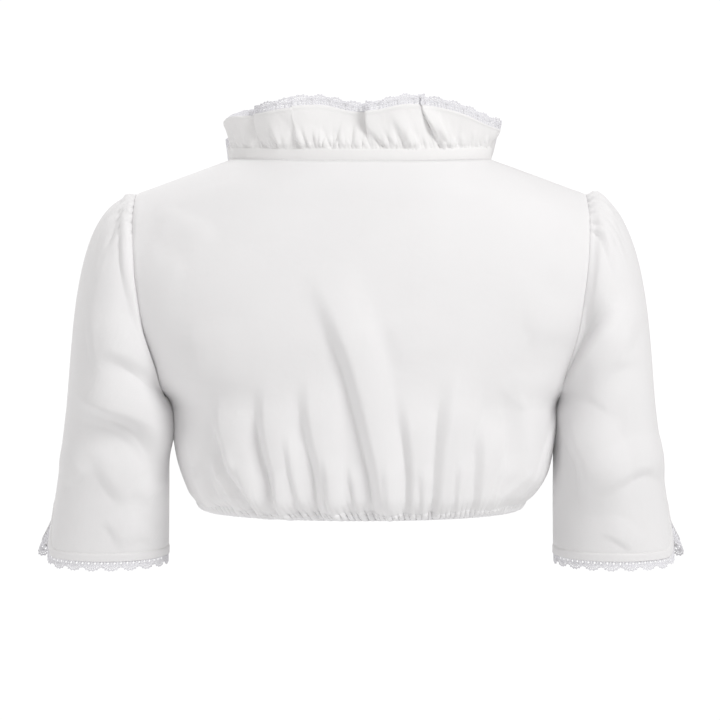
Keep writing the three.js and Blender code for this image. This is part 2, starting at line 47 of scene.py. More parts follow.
CHEST_HALF_WIDTH = 164
ARMPIT_HEIGHT = -212
HEM_SEAM_HEIGHT = -292
SHOULDER_HALF_WIDTH = 192
NECK_HALF_WIDTH = 110
NECK_ACROSS = NECK_HALF_WIDTH / SHOULDER_HALF_WIDTH
BACK_NECK_DROP = 5
FRONT_NECK_DROP = 150

# Cross sections of the body, from the back hem over the shoulder to the front hem: the middle's height and
# depth, the side seam or armhole point, the arc in degrees, and how the height changes on the way.
SECTION_COLUMNS = ("z", "y", "side_x", "side_y", "side_z", "arc", "drop")
SECTIONS = {
    "back casing edge": (-306, 89.5, 137, 0, -300, 90, 2),
    "back hem seam": (-298, 94, 142, 0, HEM_SEAM_HEIGHT, 90, 2),
    "back blousing": (-285, 101, 149, 0, -282, 90, 2),
    "back waist": (-254, 107, 158.5, 0, -254, 90, 2),
    "back armpit": (ARMPIT_HEIGHT, 111, CHEST_HALF_WIDTH, 0, ARMPIT_HEIGHT, 90, 2),
    "back 1": (-180, 112, 170, 36, -194, 84, 2),
    "back 2": (-140, 111, 182, 59, -150, 76, 2),
    "back 3": (-95, 105, 189.5, 65, -100, 66, 2),
    "back 4": (-50, 91, 192.5, 52, -62, 54, 1.8),
    "back 5": (-10, 70, 193, 28, -40, 38, 1.4),
    "shoulder seam": (40.2, 4, SHOULDER_HALF_WIDTH, 4, -30, 12, 1),
    "front 5": (-14, -58, 190, -20, -42, 40, 1.4),
    "front 4": (-55, -88, 184, -42, -68, 54, 1.8),
    "front 3": (-100, -108, 177, -54, -110, 66, 2),
    "front 2": (-145, -121, 172, -50, -155, 76, 2),
    "front 1": (-182, -128, 167, -30, -195, 84, 2),
    "front armpit": (ARMPIT_HEIGHT, -130, CHEST_HALF_WIDTH, 0, ARMPIT_HEIGHT, 90, 2),
    "front waist": (-254, -124, 158.5, 0, -254, 90, 2),
    "front blousing": (-283, -112, 149, 0, -282, 90, 2),
    "front hem seam": (-293, -103, 142, 0, HEM_SEAM_HEIGHT, 90, 2),
    "front casing edge": (-301, -98, 137, 0, -300, 90, 2),
}
SECTION = {name: row for row, name in enumerate(SECTIONS)}
BODY = {
    column: np.array([values[place] for values in SECTIONS.values()], float)
    for place, column in enumerate(SECTION_COLUMNS)
}
SHOULDER = SECTION["shoulder seam"]

# The ruffle at even steps round the neck, from the middle of the back past the wearer's left shoulder.
RUFFLE_HEIGHT = np.array(
    [31, 37, 31.5, 17, 15.5, 16, 16.5, 16.5, 16.5, 16.5, 16.5, 16.5, 16.5, 16.5, 16.5, 16, 15.5, 19, 32, 38]
)
RUFFLE_LEAN = np.array([5, 6, 8, 12, 12, 14, 19, 26, 31, 34, 35, 34, 31, 26, 19, 14, 12, 12, 8, 6])
BAND_HEIGHT = 8.5
BAND_BOTTOM = 0.9
BAND_TOP = BAND_BOTTOM + BAND_HEIGHT
# The ruffle's large waves: where round the neck, how wide, and how far outwards at the top edge.
RUFFLE_WAVES = [
    (0.032, 0.034, -7),
    (0.088, 0.02, 6),
    (0.113, 0.007, -4),
    (0.15, 0.02, 3),
    (0.2, 0.02, -4),
    (0.25, 0.022, 0),
    (0.3, 0.02, -5),
    (0.345, 0.018, 5),
    (0.39, 0.02, -5),
    (0.435, 0.02, 5),
    (0.48, 0.02, -4),
    (0.525, 0.02, 5),
    (0.57, 0.02, -5),
    (0.615, 0.02, 5),
    (0.66, 0.02, -5),
    (0.705, 0.02, 5),
    (0.755, 0.022, -5),
    (0.81, 0.022, 2),
    (0.885, 0.026, 4),
    (0.923, 0.007, -5),
    (0.965, 0.026, 6),
]

CUFF_HALF_WIDTH = 52.5
CUFF_HALF_DEPTH = 46
CUFF_ROUND = 2 * math.pi * math.sqrt((CUFF_HALF_WIDTH**2 + CUFF_HALF_DEPTH**2) / 2)
SLIT_HEIGHT = 42
SLIT_TOP_HALF_GAP = 2.5
SLIT_TOP_DROP = 1.5
SLIT_SLANT = 13
SLIT_CORNER_RADIUS = 16
SLIT_FLARE = 11

# How the sleeve cloth leaves the armhole, at even steps from the armpit round the back, shoulder and front.
CAP_LEAVES = {
    "x": np.array([8, 32, 74, 128, 168, 128, 74, 32], float),
    "y": np.array([0, 14, 34, 38, 0, -38, -34, -14], float),
    "z": np.array([8, -28, -72, -46, -12, -46, -72, -28], float),
}
FALL_UNDER_ARM = 0.15
FALL_OUTSIDE = 2.6
# Rings of the sleeve at the armpit's level, halfway down and at the cuff: x, y, z, half width, half depth
# and tilt.
SLEEVE_RINGS = [
    (209.2, 5, -218, 43.6, 58, 0),
    (213.4, -2, -278, 47.6, 51, 5),
    (219.3, -13, -338.5, CUFF_HALF_WIDTH, CUFF_HALF_DEPTH, 6),
]


def smooth(low, high, value):
    """0 below low, 1 above high and a soft step between them."""
    share = np.clip((value - low) / (high - low), 0, 1)
    return share * share * (3 - 2 * share)


def bell(distance, half):
    """A soft hump, 1 high in its middle."""
    return np.exp(-((distance / half) ** 2))


def cusp(distance, half):
    """A hollow with a narrow bottom between soft shoulders, 1 deep."""
    blunt = 0.35
    return np.exp(blunt - np.sqrt((distance / half) ** 2 + blunt**2))


def unit(vectors):
    return vectors / np.maximum(np.linalg.norm(vectors, axis=-1, keepdims=True), 1e-9)


def points(x, y, z):
    return np.stack(np.broadcast_arrays(x, y, z), axis=-1).astype(float)


def run_lengths(line):
    """The distance from a line's start to each of its points."""
    return np.concatenate([[0], np.cumsum(np.linalg.norm(np.diff(line, axis=0), axis=1))])


def at_lengths(at, lengths, line):
    """The places on a line at given distances from its start."""
    return np.stack([np.interp(at, lengths, line[:, axis]) for axis in range(line.shape[1])], axis=-1)


def halve(low, high, is_low):
    """Where between low and high a test stops being true."""
    for _ in range(30):
        middle = (low + high) / 2
        below = is_low(middle)
        low = np.where(below, middle, low)
        high = np.where(below, high, middle)
    return low


def curve_value(a, b, c, d, share):
    """The value at a share of the way from b to c on a smooth curve through four values."""
    bend = 2 * a - 5 * b + 4 * c - d + (3 * b - a - 3 * c + d) * share
    return b + 0.5 * share * (c - a + share * bend)


def along(values, position):
    """The smooth value of a table's column at positions counted in rows."""
    last = len(values) - 1
    row = np.clip(np.floor(position).astype(int), 0, last - 1)
    near = [values[np.clip(row + step, 0, last)] for step in (-1, 0, 1, 2)]
    return curve_value(*near, position - row)


def around(values, turn):
    """The same for a table whose last row is followed by its first, at positions counted in turns."""
    position = np.asarray(turn) * len(values)
    row = np.floor(position).astype(int)
    near = [values[(row + step) % len(values)] for step in (-1, 0, 1, 2)]
    return curve_value(*near, position - row)


def body_surface(across, section):
    """The body's plain surface: across is -1 to 1 from side to side, and section counts the sections."""
    across, section = np.broadcast_arrays(np.asarray(across, float), np.asarray(section, float))
    size = {column: along(values, section) for column, values in BODY.items()}
    share = np.abs(across)
    arc = np.radians(size["arc"])
    at_armhole = (section > SECTION["back armpit"]) & (section < SECTION["front armpit"])
    side_y = np.where(at_armhole, size["side_y"], 0)
    inward = (np.cos(arc * share) - np.cos(arc)) / (1 - np.cos(arc))
    return points(
        np.sign(across) * size["side_x"] * np.sin(arc * share) / np.sin(arc),
        side_y + (size["y"] - side_y) * inward,
        size["z"] + (size["side_z"] - size["z"]) * share ** size["drop"],
    )


def neck_section(across, is_back):
    """The section at which the neckline crosses a panel."""
    share = np.minimum(np.abs(across) / NECK_ACROSS, 1)
    back_level = -BACK_NECK_DROP * (1 - share**2)
    front_level = -FRONT_NECK_DROP * (1 - share**2) ** 0.8
    level = back_level if is_back else front_level
    last = SECTION["back 4" if is_back else "front armpit"]
    crossing = halve(
        np.full(share.shape, float(SHOULDER)),
        np.full(share.shape, float(last)),
        lambda section: body_surface(share * NECK_ACROSS, section)[..., 2] > level,
    )
    return np.where(share < 1, crossing, SHOULDER)


# Meshes
def outward(surface, u, v, step):
    """The direction in which a turn from growing u to growing v points, at places on surface(u, v)."""
    along_u = surface(u + step, v) - surface(u - step, v)
    along_v = surface(u, v + step) - surface(u, v - step)
    return unit(np.cross(along_u, along_v))


def grid_normals(place, ring):
    """The direction out of a grid of points, whose columns join up when it is a ring."""
    if ring:
        across = np.roll(place, -1, axis=1) - np.roll(place, 1, axis=1)
    else:
        across = np.gradient(place, axis=1)
    return unit(np.cross(across, np.gradient(place, axis=0)))


def link_object(name, data):
    made = bpy.data.objects.new(name, data)
    bpy.context.scene.collection.objects.link(made)
    return made


def make_object(name, stands_for, vertices, faces, material, thread):
    """A piece on the body, in metres, that stands for a node of the model unless that is None."""
    mesh = bpy.data.meshes.new(name)
    sides = faces.shape[1]
    mesh.vertices.add(len(vertices))
    mesh.vertices.foreach_set("co", (vertices / METRE).astype(np.float32).ravel())
    mesh.loops.add(faces.size)
    mesh.loops.foreach_set("vertex_index", faces.astype(np.int32).ravel())
    mesh.polygons.add(len(faces))
    mesh.polygons.foreach_set("loop_start", np.arange(0, faces.size, sides, dtype=np.int32))
    mesh.update(calc_edges=True)
    mesh.validate()
    mesh.shade_smooth()
    layer = mesh.attributes.new("thread", "FLOAT_VECTOR", "POINT")
    layer.data.foreach_set("vector", thread.astype(np.float32).ravel())
    mesh.materials.append(material)
    piece = link_object(name, mesh)
    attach(piece, "root")
    if stands_for:
        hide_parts(stands_for)
    return piece


def thread_map(place):
    """Distances along the cloth in both directions, for the weave."""
    run = run_lengths(place[place.shape[0] // 2])
    steps = np.linalg.norm(np.diff(place, axis=0), axis=-1)
    rise = np.concatenate([np.zeros((1, place.shape[1])), np.cumsum(steps, axis=0)])
    return points(np.broadcast_to(run, place.shape[:2]), rise, 0)


def shell(name, stands_for, place, normal, material, ring=False):
    """A closed thin shell round a grid of points."""
    rows, columns = place.shape[:2]
    vertices = np.concatenate([(place + normal * out).reshape(-1, 3) for out in (SHELL_OUT, SHELL_IN)])
    index = np.arange(rows * columns).reshape(rows, columns)
    if ring:
        index = np.concatenate([index, index[:, :1]], axis=1)
    low_left, low_right = index[:-1, :-1], index[:-1, 1:]
    top_left, top_right = index[1:, :-1], index[1:, 1:]
    outer = np.stack([low_left, low_right, top_right, top_left], axis=-1).reshape(-1, 4)
    back = rows * columns
    rims = [index[0], index[-1][::-1]]
    if not ring:
        rims += [index[:, 0][::-1], index[:, -1]]
    edges = [np.stack([line[1:], line[:-1], line[:-1] + back, line[1:] + back], axis=-1) for line in rims]
    faces = np.concatenate([outer, outer[:, ::-1] + back, *edges])
    thread = np.concatenate([thread_map(place).reshape(-1, 3)] * 2)
    return make_object(name, stands_for, vertices, faces, material, thread)


def tubes(lines, normals, wide, thick, sides=6):
    """Closed flattened tubes along many lines of equally many points, as vertices and four-sided faces."""
    count, length = lines.shape[:2]
    tangent = unit(np.gradient(lines, axis=1))
    side = unit(np.cross(tangent, normals))
    up = np.cross(side, tangent)
    angle = 2 * np.pi * np.arange(sides) / sides
    ring = side[:, :, None] * wide * np.cos(angle)[:, None] + up[:, :, None] * thick * np.sin(angle)[:, None]
    vertices = lines[:, :, None] + ring
    index = np.arange(count * length * sides).reshape(count, length, sides)
    turned = np.roll(index, -1, axis=2)
    faces = [np.stack([index[:, :-1], turned[:, :-1], turned[:, 1:], index[:, 1:]], axis=-1).reshape(-1, 4)]
    for loop in (index[:, 0, ::-1], index[:, -1]):
        faces.append(loop[:, [0, 1, 2, 3]])
        faces.append(loop[:, [0, 3, 4, 5]])
    return vertices.reshape(-1, 3), np.concatenate(faces)


# Sewing: the distance from one stitch to the next, a stitch's length and the thread's half width.
STITCH_STEP = 2.6
STITCH_LENGTH = 1.9
THREAD_HALF = 0.2


def stitches(name, line, normal):
    """A row of stitches along a line of points on the cloth's middle, whose ends dip into the cloth."""
    lengths = run_lengths(line)
    starts = np.arange(STITCH_STEP / 2, lengths[-1] - STITCH_LENGTH, STITCH_STEP)
    at = starts[:, None] + STITCH_LENGTH * np.array([0, 0.2, 0.8, 1])
    on_line = at_lengths(at, lengths, line)
    facing = unit(at_lengths(at, lengths, normal))
    height = SHELL_OUT + THREAD_HALF * np.array([-0.9, 0.7, 0.7, -0.9])
    vertices, faces = tubes(on_line + facing * height[:, None], facing, THREAD_HALF, THREAD_HALF)
    return make_object(name, None, vertices, faces, SEWING, vertices)


# Materials
# The weave's thread spacing in cloth and in lace, and how deep the bump of the weave is, all in millimetres.
CLOTH_PITCH = 0.55
LACE_PITCH = 0.3
CLOTH_WEAVE = 0.05
LACE_WEAVE = 0.03
# How many waves Blender's wave texture has in one unit of length at scale 1.
WAVES_AT_ONE = 10 / math.pi
# How often the threads' width changes in a millimetre, and how far that moves them.
SLUB_SCALE = 0.35
SLUB_SHIFT = (0.5, 0.5, 0)
# Faint creases: how many in a metre, and how deep in metres.
CREASE_SCALE = 42
CREASE_DEPTH = 0.0016
# Paler and darker patches: how many in a metre and how dark at most, and how much the weave darkens.
PATCH_SCALE = 9
PATCH_SHADE = 0.965
WEAVE_SHADE = 0.05


def cotton(name, color, roughness, weave_depth=CLOTH_WEAVE, weave_pitch=CLOTH_PITCH):
    """White cotton: a plain weave of slightly uneven threads, faint creasing and a soft sheen."""
    material = bpy.data.materials.new(name)
    material.use_nodes = True
    tree = material.node_tree
    link = tree.links.new
    shader = tree.nodes["Principled BSDF"]
    for key, value in (
        ("Roughness", roughness),
        ("Sheen Weight", 0.25),
        ("Sheen Roughness", 0.5),
        ("Specular IOR Level", 0.25),
    ):
        shader.inputs[key].default_value = value

    def node(kind, values, links, **settings):
        made = tree.nodes.new(kind)
        for key, value in settings.items():
            setattr(made, key, value)
        for key, value in values.items():
            made.inputs[key].default_value = value
        for key, output in links.items():
            link(output, made.inputs[key])
        return made

    def noise(scale, detail, vector):
        return node("ShaderNodeTexNoise", {"Scale": scale, "Detail": detail}, {"Vector": vector})

    def bump(strength, distance, links):
        return node("ShaderNodeBump", {"Strength": strength, "Distance": distance}, links).outputs["Normal"]

    thread = node("ShaderNodeAttribute", {}, {}, attribute_name="thread").outputs["Vector"]
    position = node("ShaderNodeTexCoord", {}, {}).outputs["Object"]
    slub = noise(SLUB_SCALE, 3, thread).outputs["Color"]
    wobble = node("ShaderNodeVectorMath", {1: SLUB_SHIFT}, {0: slub, 2: thread}, operation="MULTIPLY_ADD")
    waves = [
        node(
            "ShaderNodeTexWave",
            {"Scale": 1 / (WAVES_AT_ONE * weave_pitch), "Distortion": 0},
            {"Vector": wobble.outputs["Vector"]},
            wave_type="BANDS",
            bands_direction=direction,
            wave_profile="SIN",
        )
        for direction in ("X", "Y")
    ]
    crossing = {place: wave.outputs["Fac"] for place, wave in enumerate(waves)}
    weave = node("ShaderNodeMath", {}, crossing, operation="MULTIPLY").outputs["Value"]
    soft = bump(0.35, CREASE_DEPTH, {"Height": noise(CREASE_SCALE, 3, position).outputs["Fac"]})
    link(bump(0.6, weave_depth / METRE, {"Height": weave, "Normal": soft}), shader.inputs["Normal"])

    ramp = node("ShaderNodeValToRGB", {}, {"Fac": noise(PATCH_SCALE, 4, position).outputs["Fac"]})
    for element, stop, shade in zip(ramp.color_ramp.elements, (0.3, 0.7), (PATCH_SHADE, 1)):
        element.position = stop
        element.color = (*[shade * part for part in color], 1)
    mixed = node(
        "ShaderNodeMix",
        {0: WEAVE_SHADE},
        {6: ramp.outputs["Color"], 7: weave},
        data_type="RGBA",
        blend_type="MULTIPLY",
    )
    link(mixed.outputs[2], shader.inputs["Base Color"])
    return material


CLOTH = cotton("white_cotton", (0.87, 0.863, 0.868), 0.8)
# The casing's cotton is painted paler than the body's: painted light, for the casing that shows lit below the
# shaded cloth above it.
TRIM_PAINTED_LIGHTER = cotton("white_cotton_trim_painted_lighter", (0.9, 0.895, 0.905), 0.8)
# The band's and ruffle's cotton is painted paler than the body's: painted light, for the collar that shows
# brighter than the body.
FRILL_PAINTED_LIGHTER = cotton("white_cotton_frill_painted_lighter", (0.915, 0.908, 0.906), 0.8)
LACE = cotton("white_lace_cotton", (0.87, 0.865, 0.9), 0.85, LACE_WEAVE, LACE_PITCH)
SEWING = cotton("white_sewing_thread", (0.9, 0.89, 0.87), 0.6, LACE_WEAVE, LACE_PITCH)


# Folds
def smooth_path(path, count=24):
    """Evenly spread points on a smooth curve through the given ones."""
    knots = np.array(path, float)
    share = np.linspace(0, len(knots) - 1, count)
    return np.stack([along(knots[:, axis], share) for axis in range(knots.shape[1])], axis=-1)


# A fold's far flank: its length in widths of the steep flank, and how softly it ends.
LONG_FLANK = 2.6
ROUNDED = 0.08
# The half width of the steep flank where it is soft, and how far its foot dips where it is creased.
SOFT_FLANK = 0.62
FOOT_DIP = 0.2
# How far round its path a fold is worked out, in half widths of its steep flank.
FOLD_REACH = 6


def fold(u, v, path, lift, half, side, fade, crisp, taper=0):
    """How far a fold along a path lifts the cloth at places (u, v).

    The path is the foot of the fold's steep flank, which is `half` wide up to the rounded crest. The other
    flank is longer and rounds down to the plain cloth. The foot is creased more and more along the path.
    """
    line = smooth_path(path)
    lengths = run_lengths(line)
    reach = FOLD_REACH * half
    low, high = line.min(axis=0) - reach, line.max(axis=0) + reach
    result = np.zeros(u.shape)
    near = (u > low[0]) & (u < high[0]) & (v > low[1]) & (v < high[1])
    if not near.any():
        return result
    place = np.stack([u[near], v[near]], axis=-1)
    best = np.full(len(place), 1e9)
    signed = np.zeros(len(place))
    share = np.zeros(len(place))
    for step in range(len(line) - 1):
        start, run = line[step], line[step + 1] - line[step]
        span = np.linalg.norm(run)
        offset = place - start
        part = np.clip(offset @ run / span**2, 0, 1)
        away = offset - part[:, None] * run
        distance = np.linalg.norm(away, axis=1)
        closer = distance < best
        best = np.where(closer, distance, best)
        turn = np.sign(run[0] * offset[:, 1] - run[1] * offset[:, 0])
        signed = np.where(closer, turn * distance, signed)
        share = np.where(closer, (lengths[step] + part * span) / lengths[-1], share)
    ends = smooth(0, fade[0], share) if fade[0] else 1
    ends = ends * (smooth(0, fade[1], 1 - share) if fade[1] else 1)
    from_foot = signed * side / (half * (1 - taper * share))
    left = 1 - ((from_foot - 1) / LONG_FLANK) ** 2
    long_flank = (left + np.sqrt(left**2 + ROUNDED)) / (1 + math.sqrt(1 + ROUNDED))
    soft = np.where(from_foot < 1, bell(from_foot - 1, SOFT_FLANK), long_flank)
    rising = (1 + FOOT_DIP) * np.sin(np.pi / 2 * np.clip(from_foot, 0, 1))
    climb = rising - FOOT_DIP * np.exp(np.minimum(from_foot, 0))
    creased = np.where(from_foot < 1, climb, long_flank)
    sharp = crisp * smooth(0, 0.6, share)
    result[near] = lift * ends * (soft + sharp * (creased - soft))
    return result


def add_folds(u, v, table, style, side=None):
    """How far all the folds of a table lift the cloth. A row ends with its side where none is given."""
    total = np.zeros(u.shape)
    for path, lift, half, *own_side in table:
        total += fold(u, v, path, lift, half, side or own_side[0], **style)
    return total


# How each kind of fold fades at its two ends, how sharply it is creased and how much it narrows.
HEM_STYLE = {"fade": (0.4, 0), "crisp": 0.8, "taper": 0.45}
DRAPE_STYLE = {"fade": (0.3, 0.3), "crisp": 0.2}
RUFFLE_STYLE = {"fade": (0.6, 0), "crisp": 0.9, "taper": 0.3}
SLEEVE_STYLE = {"fade": (0.45, 0.4), "crisp": 0.7}
CAP_STYLE = {"fade": (0.7, 0), "crisp": 1}
HIDDEN_STYLE = {"fade": (0.45, 0.4), "crisp": 0.6}

# Folds of the back, as paths of (x, z) from the head down to the hem: lift and width of the steep flank.
BACK_FOLDS = [
    ([(147, -262), (139, -279), (131, -296)], 4.8, 5.8),
    ([(130, -250), (120, -272), (110, -288), (105, -300)], 6.6, 8),
    ([(130, -192), (124, -226), (114, -254), (102, -275), (92, -290), (87, -300)], 9.6, 12.6),
    ([(104, -254), (97, -272), (91, -287), (86, -300)], 2.7, 4.6),
    ([(91, -186), (86, -226), (81, -251), (75, -271), (69, -299)], 8.3, 11.5),
    ([(77, -262), (71, -280), (66, -299)], 2.4, 4),
    ([(66, -226), (60, -258), (55, -280), (50, -299)], 3.9, 6.9),
    ([(56, -180), (51, -215), (45, -243), (40, -263), (35, -299)], 6.3, 11.5),
    ([(34, -248), (30, -276), (27, -299)], 3.0, 5.8),
    (
        [(56, -96), (43, -122), (30, -150), (18, -177), (9, -207), (1, -238), (-6, -268), (-11, -299)],
        9.6,
        13.8,
    ),
    ([(14, -256), (9, -280), (6, -299)], 2.2, 4.6),
    ([(-14, -250), (-17, -276), (-19, -299)], 2.4, 5.8),
    ([(-24, -196), (-32, -232), (-36, -263), (-36, -299)], 5.9, 10.3),
    ([(-45, -256), (-47, -280), (-47, -299)], 2.7, 5.2),
    ([(-73, -172), (-65, -205), (-61, -238), (-59, -268), (-57, -299)], 7.2, 11.5),
    ([(-77, -246), (-76, -277), (-75, -300)], 3.2, 5.8),
    ([(-92, -214), (-94, -250), (-94, -278), (-92, -300)], 4.4, 9.2),
    ([(-116, -246), (-111, -272), (-102, -300)], 3.2, 6.9),
]
BACK_DRAPES = [
    ([(173, -37), (150, -46), (130, -57), (112, -71)], 2.2, 10, 1),
    ([(176, -68), (159, -80), (138, -90)], 1.4, 12, 1),
    ([(-126, -90), (-150, -108), (-173, -127)], 1.4, 12, 1),
    ([(-140, -164), (-161, -158), (-180, -162)], 2.2, 10, -1),
    ([(-9, -138), (-19, -161), (-27, -185)], 1.7, 14, -1),
    ([(-116, -182), (-129, -196), (-141, -209)], 1.4, 9, 1),
    ([(-140, -256), (-126, -270), (-112, -287)], 2.0, 6, -1),
    ([(-164, -199), (-155, -226), (-147, -249), (-140, -268), (-130, -284)], 1.7, 3, -1),
    ([(154, -147), (147, -174), (148, -199)], 2.2, 14, -1),
    ([(-112, -180), (-119, -220), (-121, -254), (-116, -294)], 7.0, 16, -1),
    ([(156, -226), (148, -256), (134, -292)], 3.0, 10, -1),
]
FRONT_FOLDS = [
    ([(124, -208), (113, -254), (108, -296)], 3.9, 9),
    ([(90, -182), (80, -240), (76, -296)], 5.1, 10),
    ([(64, -236), (60, -262), (58, -296)], 2.4, 6),
    ([(48, -200), (42, -246), (40, -296)], 4.5, 9),
    ([(28, -246), (26, -270), (25, -296)], 2.1, 5),
    ([(12, -170), (6, -226), (8, -296)], 5.7, 11),
    ([(-10, -238), (-9, -262), (-8, -296)], 2.2, 6),
    ([(-26, -205), (-28, -246), (-26, -296)], 4.5, 9),
    ([(-44, -240), (-43, -264), (-42, -296)], 2.1, 5),
    ([(-68, -176), (-60, -236), (-58, -296)], 5.4, 10),
    ([(-80, -230), (-77, -260), (-76, -296)], 2.4, 6),
    ([(-100, -206), (-92, -250), (-88, -296)], 4.2, 9),
    ([(-130, -226), (-122, -258), (-116, -296)], 3.3, 8),
]
FRONT_DRAPES = [
    ([(-150, -120), (-118, -150), (-86, -158)], 2.1, 11, 1),
    ([(152, -110), (124, -146), (96, -168)], 2.4, 11, -1),
    ([(-140, -66), (-118, -92), (-92, -112)], 1.7, 11, 1),
    ([(140, -70), (120, -100), (104, -128)], 1.7, 11, -1),
]

CASING_HEIGHT = 8.5
# How far up the casing its stitches run, as a share of its height.
CASING_SEWN = 0.8
# The gathers of the hem: how many on a panel, how deep, and how far they lean over with the height, in shares
# of a panel's half width per millimetre.
GATHERS = 84
GATHER_DEPTH = 2.6
GATHER_LEAN = 0.0017
CASING_LEAN = 0.0022
# A gather's half width in shares of a panel's half width.
GATHER_HALF = 0.3 / GATHERS
# Places of a mesh's columns between one gather and the next, in the back (True), the front and the casing.
PANEL_COLUMNS = {True: (0, 0.15, 0.38, 0.62, 0.85), False: (0, 0.25, 0.5, 0.75)}
CASING_COLUMNS = (0, 0.1, 0.25, 0.5, 0.75, 0.9)


def hem_gathers(seed):
    """Each gather's place across a panel, its strength and how far up the cloth it reaches."""
    draw = np.random.default_rng(seed)
    aside = draw.uniform(-0.2, 0.2, GATHERS)
    place = (2 * np.arange(GATHERS) + 1) / GATHERS - 1 + aside * 2 / GATHERS
    strength = draw.uniform(0.7, 1.15, GATHERS)
    reach = draw.uniform(1.2, 3.6, GATHERS) ** 2
    return place, strength, reach


def gather_columns(seed, shares):
    """Where a mesh's columns stand across a panel, so that each gather has one in its middle."""
    ends = np.concatenate([[-1], hem_gathers(seed)[0], [1]])
    return np.append((ends[:-1, None] + np.diff(ends)[:, None] * np.array(shares)).ravel(), 1)


def leaning(across, above):
    """Places across a panel that follow the leaning gathers near the hem."""
    over_panel = GATHER_LEAN * np.maximum(above, 0) * (1 - smooth(4, 40, above))
    lean = over_panel + CASING_LEAN * np.minimum(above, 0)
    return across + lean * (1 - across**4)


def gather_depth(across, above, seed):
    """How deep the gathers are in the cloth above the casing (above > 0) and over the casing (above < 0)."""
    down = np.maximum(-above, 0) / CASING_HEIGHT
    # The gathers deepen from the casing's seam down and flatten at its lower edge.
    over_casing = (0.5 + smooth(0, 0.35, down)) * (1 - 0.8 * smooth(0.85, 1, down))
    result = np.zeros(np.broadcast(across, above).shape)
    for middle, deep, high in zip(*hem_gathers(seed)):
        reach = np.exp(-np.maximum(above, 0) / high)
        result += deep * cusp(across - middle, GATHER_HALF) * reach
    return result * over_casing


# How fast the rows below the neckline bend to follow it, in the back (True) and in the front.
NECK_BEND = {True: 4, False: 1}
# Half the step, in shares and sections, between the places from which a panel's outward direction is taken.
NORMAL_STEP = 0.002
# The share of the folds' lift that is left at the casing, where the elastic holds them.
FOLDS_AT_HEM = 0.7
# How far the cloth swells above the casing, how high above it and over what half height.
HEM_SWELL = (0.6, 9, 6)
# The seams at the sides and armholes: the roll beside them as height, place and half width, and their dent.
SEAM_ROLL = (0.2, 4.5, 3)
SEAM_DENT = (0.25, 1.3)


def body_panel(name, is_back, folds, drapes, seed, rows):
    """The back or the front, from the casing's seam up to the neckline and the shoulder seams."""
    across = gather_columns(seed, PANEL_COLUMNS[is_back])
    for corner in (-NECK_ACROSS, NECK_ACROSS):
        across[np.argmin(np.abs(across - corner))] = corner
    side = -1 if is_back else 1
    across = across[::side]
    top = neck_section(across, is_back)
    # Six rows in ten lie below the armpit, closer together towards the hem.
    low_rows = np.linspace(0, 1, rows * 6 // 10, endpoint=False) ** 1.2
    climb = np.concatenate([low_rows, np.linspace(1, 2, rows - len(low_rows))])
    hem = SECTION["back hem seam" if is_back else "front hem seam"]
    armpit = SECTION["back armpit" if is_back else "front armpit"]
    upper = np.maximum(climb - 1, 0)[:, None]
    section = armpit + (SHOULDER - armpit) * upper + (top - SHOULDER) * upper ** NECK_BEND[is_back]
    section = section - (armpit - hem) * np.maximum(1 - climb, 0)[:, None]
    seam = body_surface(across[None, :], hem)[..., 2]
    above = body_surface(across[None, :], section)[..., 2] - seam
    leant = leaning(across, above)
    place = body_surface(leant, section)
    normal = -outward(body_surface, leant, section, NORMAL_STEP)
    u, v = place[..., 0], place[..., 2]
    at_hem = FOLDS_AT_HEM + (1 - FOLDS_AT_HEM) * smooth(0, 15, above)
    out = add_folds(u, v, folds, HEM_STYLE, side) * at_hem + add_folds(u, v, drapes, DRAPE_STYLE)
    out -= GATHER_DEPTH * gather_depth(across, above, seed)
    swell, height, half = HEM_SWELL
    out += swell * bell(above - height, half) * (1 - across**4)
    edge = (1 - np.abs(across)[None, :]) * CHEST_HALF_WIDTH
    armhole = smooth(-0.02, 0.1, climb - 1)[:, None]
    out += SEAM_ROLL[0] * armhole * bell(edge - SEAM_ROLL[1], SEAM_ROLL[2])
    out -= SEAM_DENT[0] * bell(edge, SEAM_DENT[1])
    place = place + normal * out[..., None]
    return shell(name + "_cloth", name, place, normal, CLOTH)


# How far the casing's cloth stands out over the elastic, and how far its lower edge curls in.
CASING_BELLY = 1.2
CASING_CURL = 1.5
# The rows of the casing's mesh as shares of its height, with one at its stitches.
CASING_ROWS = [-0.06, 0, 0.06, 0.15, 0.28, 0.42, 0.56, 0.7, CASING_SEWN, 0.9, 0.96, 1]


def hem_casing(name, is_back, folds, seed):
    """The elastic's casing, puckered by its gathers, with a row of stitches near its top."""
    edge = SECTION["back casing edge" if is_back else "front casing edge"]
    seam = SECTION["back hem seam" if is_back else "front hem seam"]
    side = -1 if is_back else 1
    across = gather_columns(seed, CASING_COLUMNS)[::side]
    share = np.array(CASING_ROWS)[:, None]
    below = (share - 1) * CASING_HEIGHT
    place = body_surface(leaning(across, below), edge + share * (seam - edge))
    normal = grid_normals(place, ring=False)
    belly = np.sin(np.pi * np.clip(share, 0, 1))
    top = body_surface(across[None, :], seam)
    folded = FOLDS_AT_HEM * add_folds(top[..., 0], top[..., 2], folds, HEM_STYLE, side)
    out = folded * smooth(-0.1, 1, share) + CASING_BELLY * belly - CASING_CURL * (1 - share) ** 2
    out = out - GATHER_DEPTH * gather_depth(across, below, seed)
    place = place + normal * out[..., None]
    normal = grid_normals(place, ring=False)
    piece = shell(name + "_cloth", name, place, normal, TRIM_PAINTED_LIGHTER)
    row = CASING_ROWS.index(CASING_SEWN)
    return piece, stitches(name + "_stitches", place[row], normal[row])


# The collar: points of half the neckline as it is found, and of all of it when they are evenly spaced.
HALF_NECK_POINTS = 600
NECK_POINTS = 1500


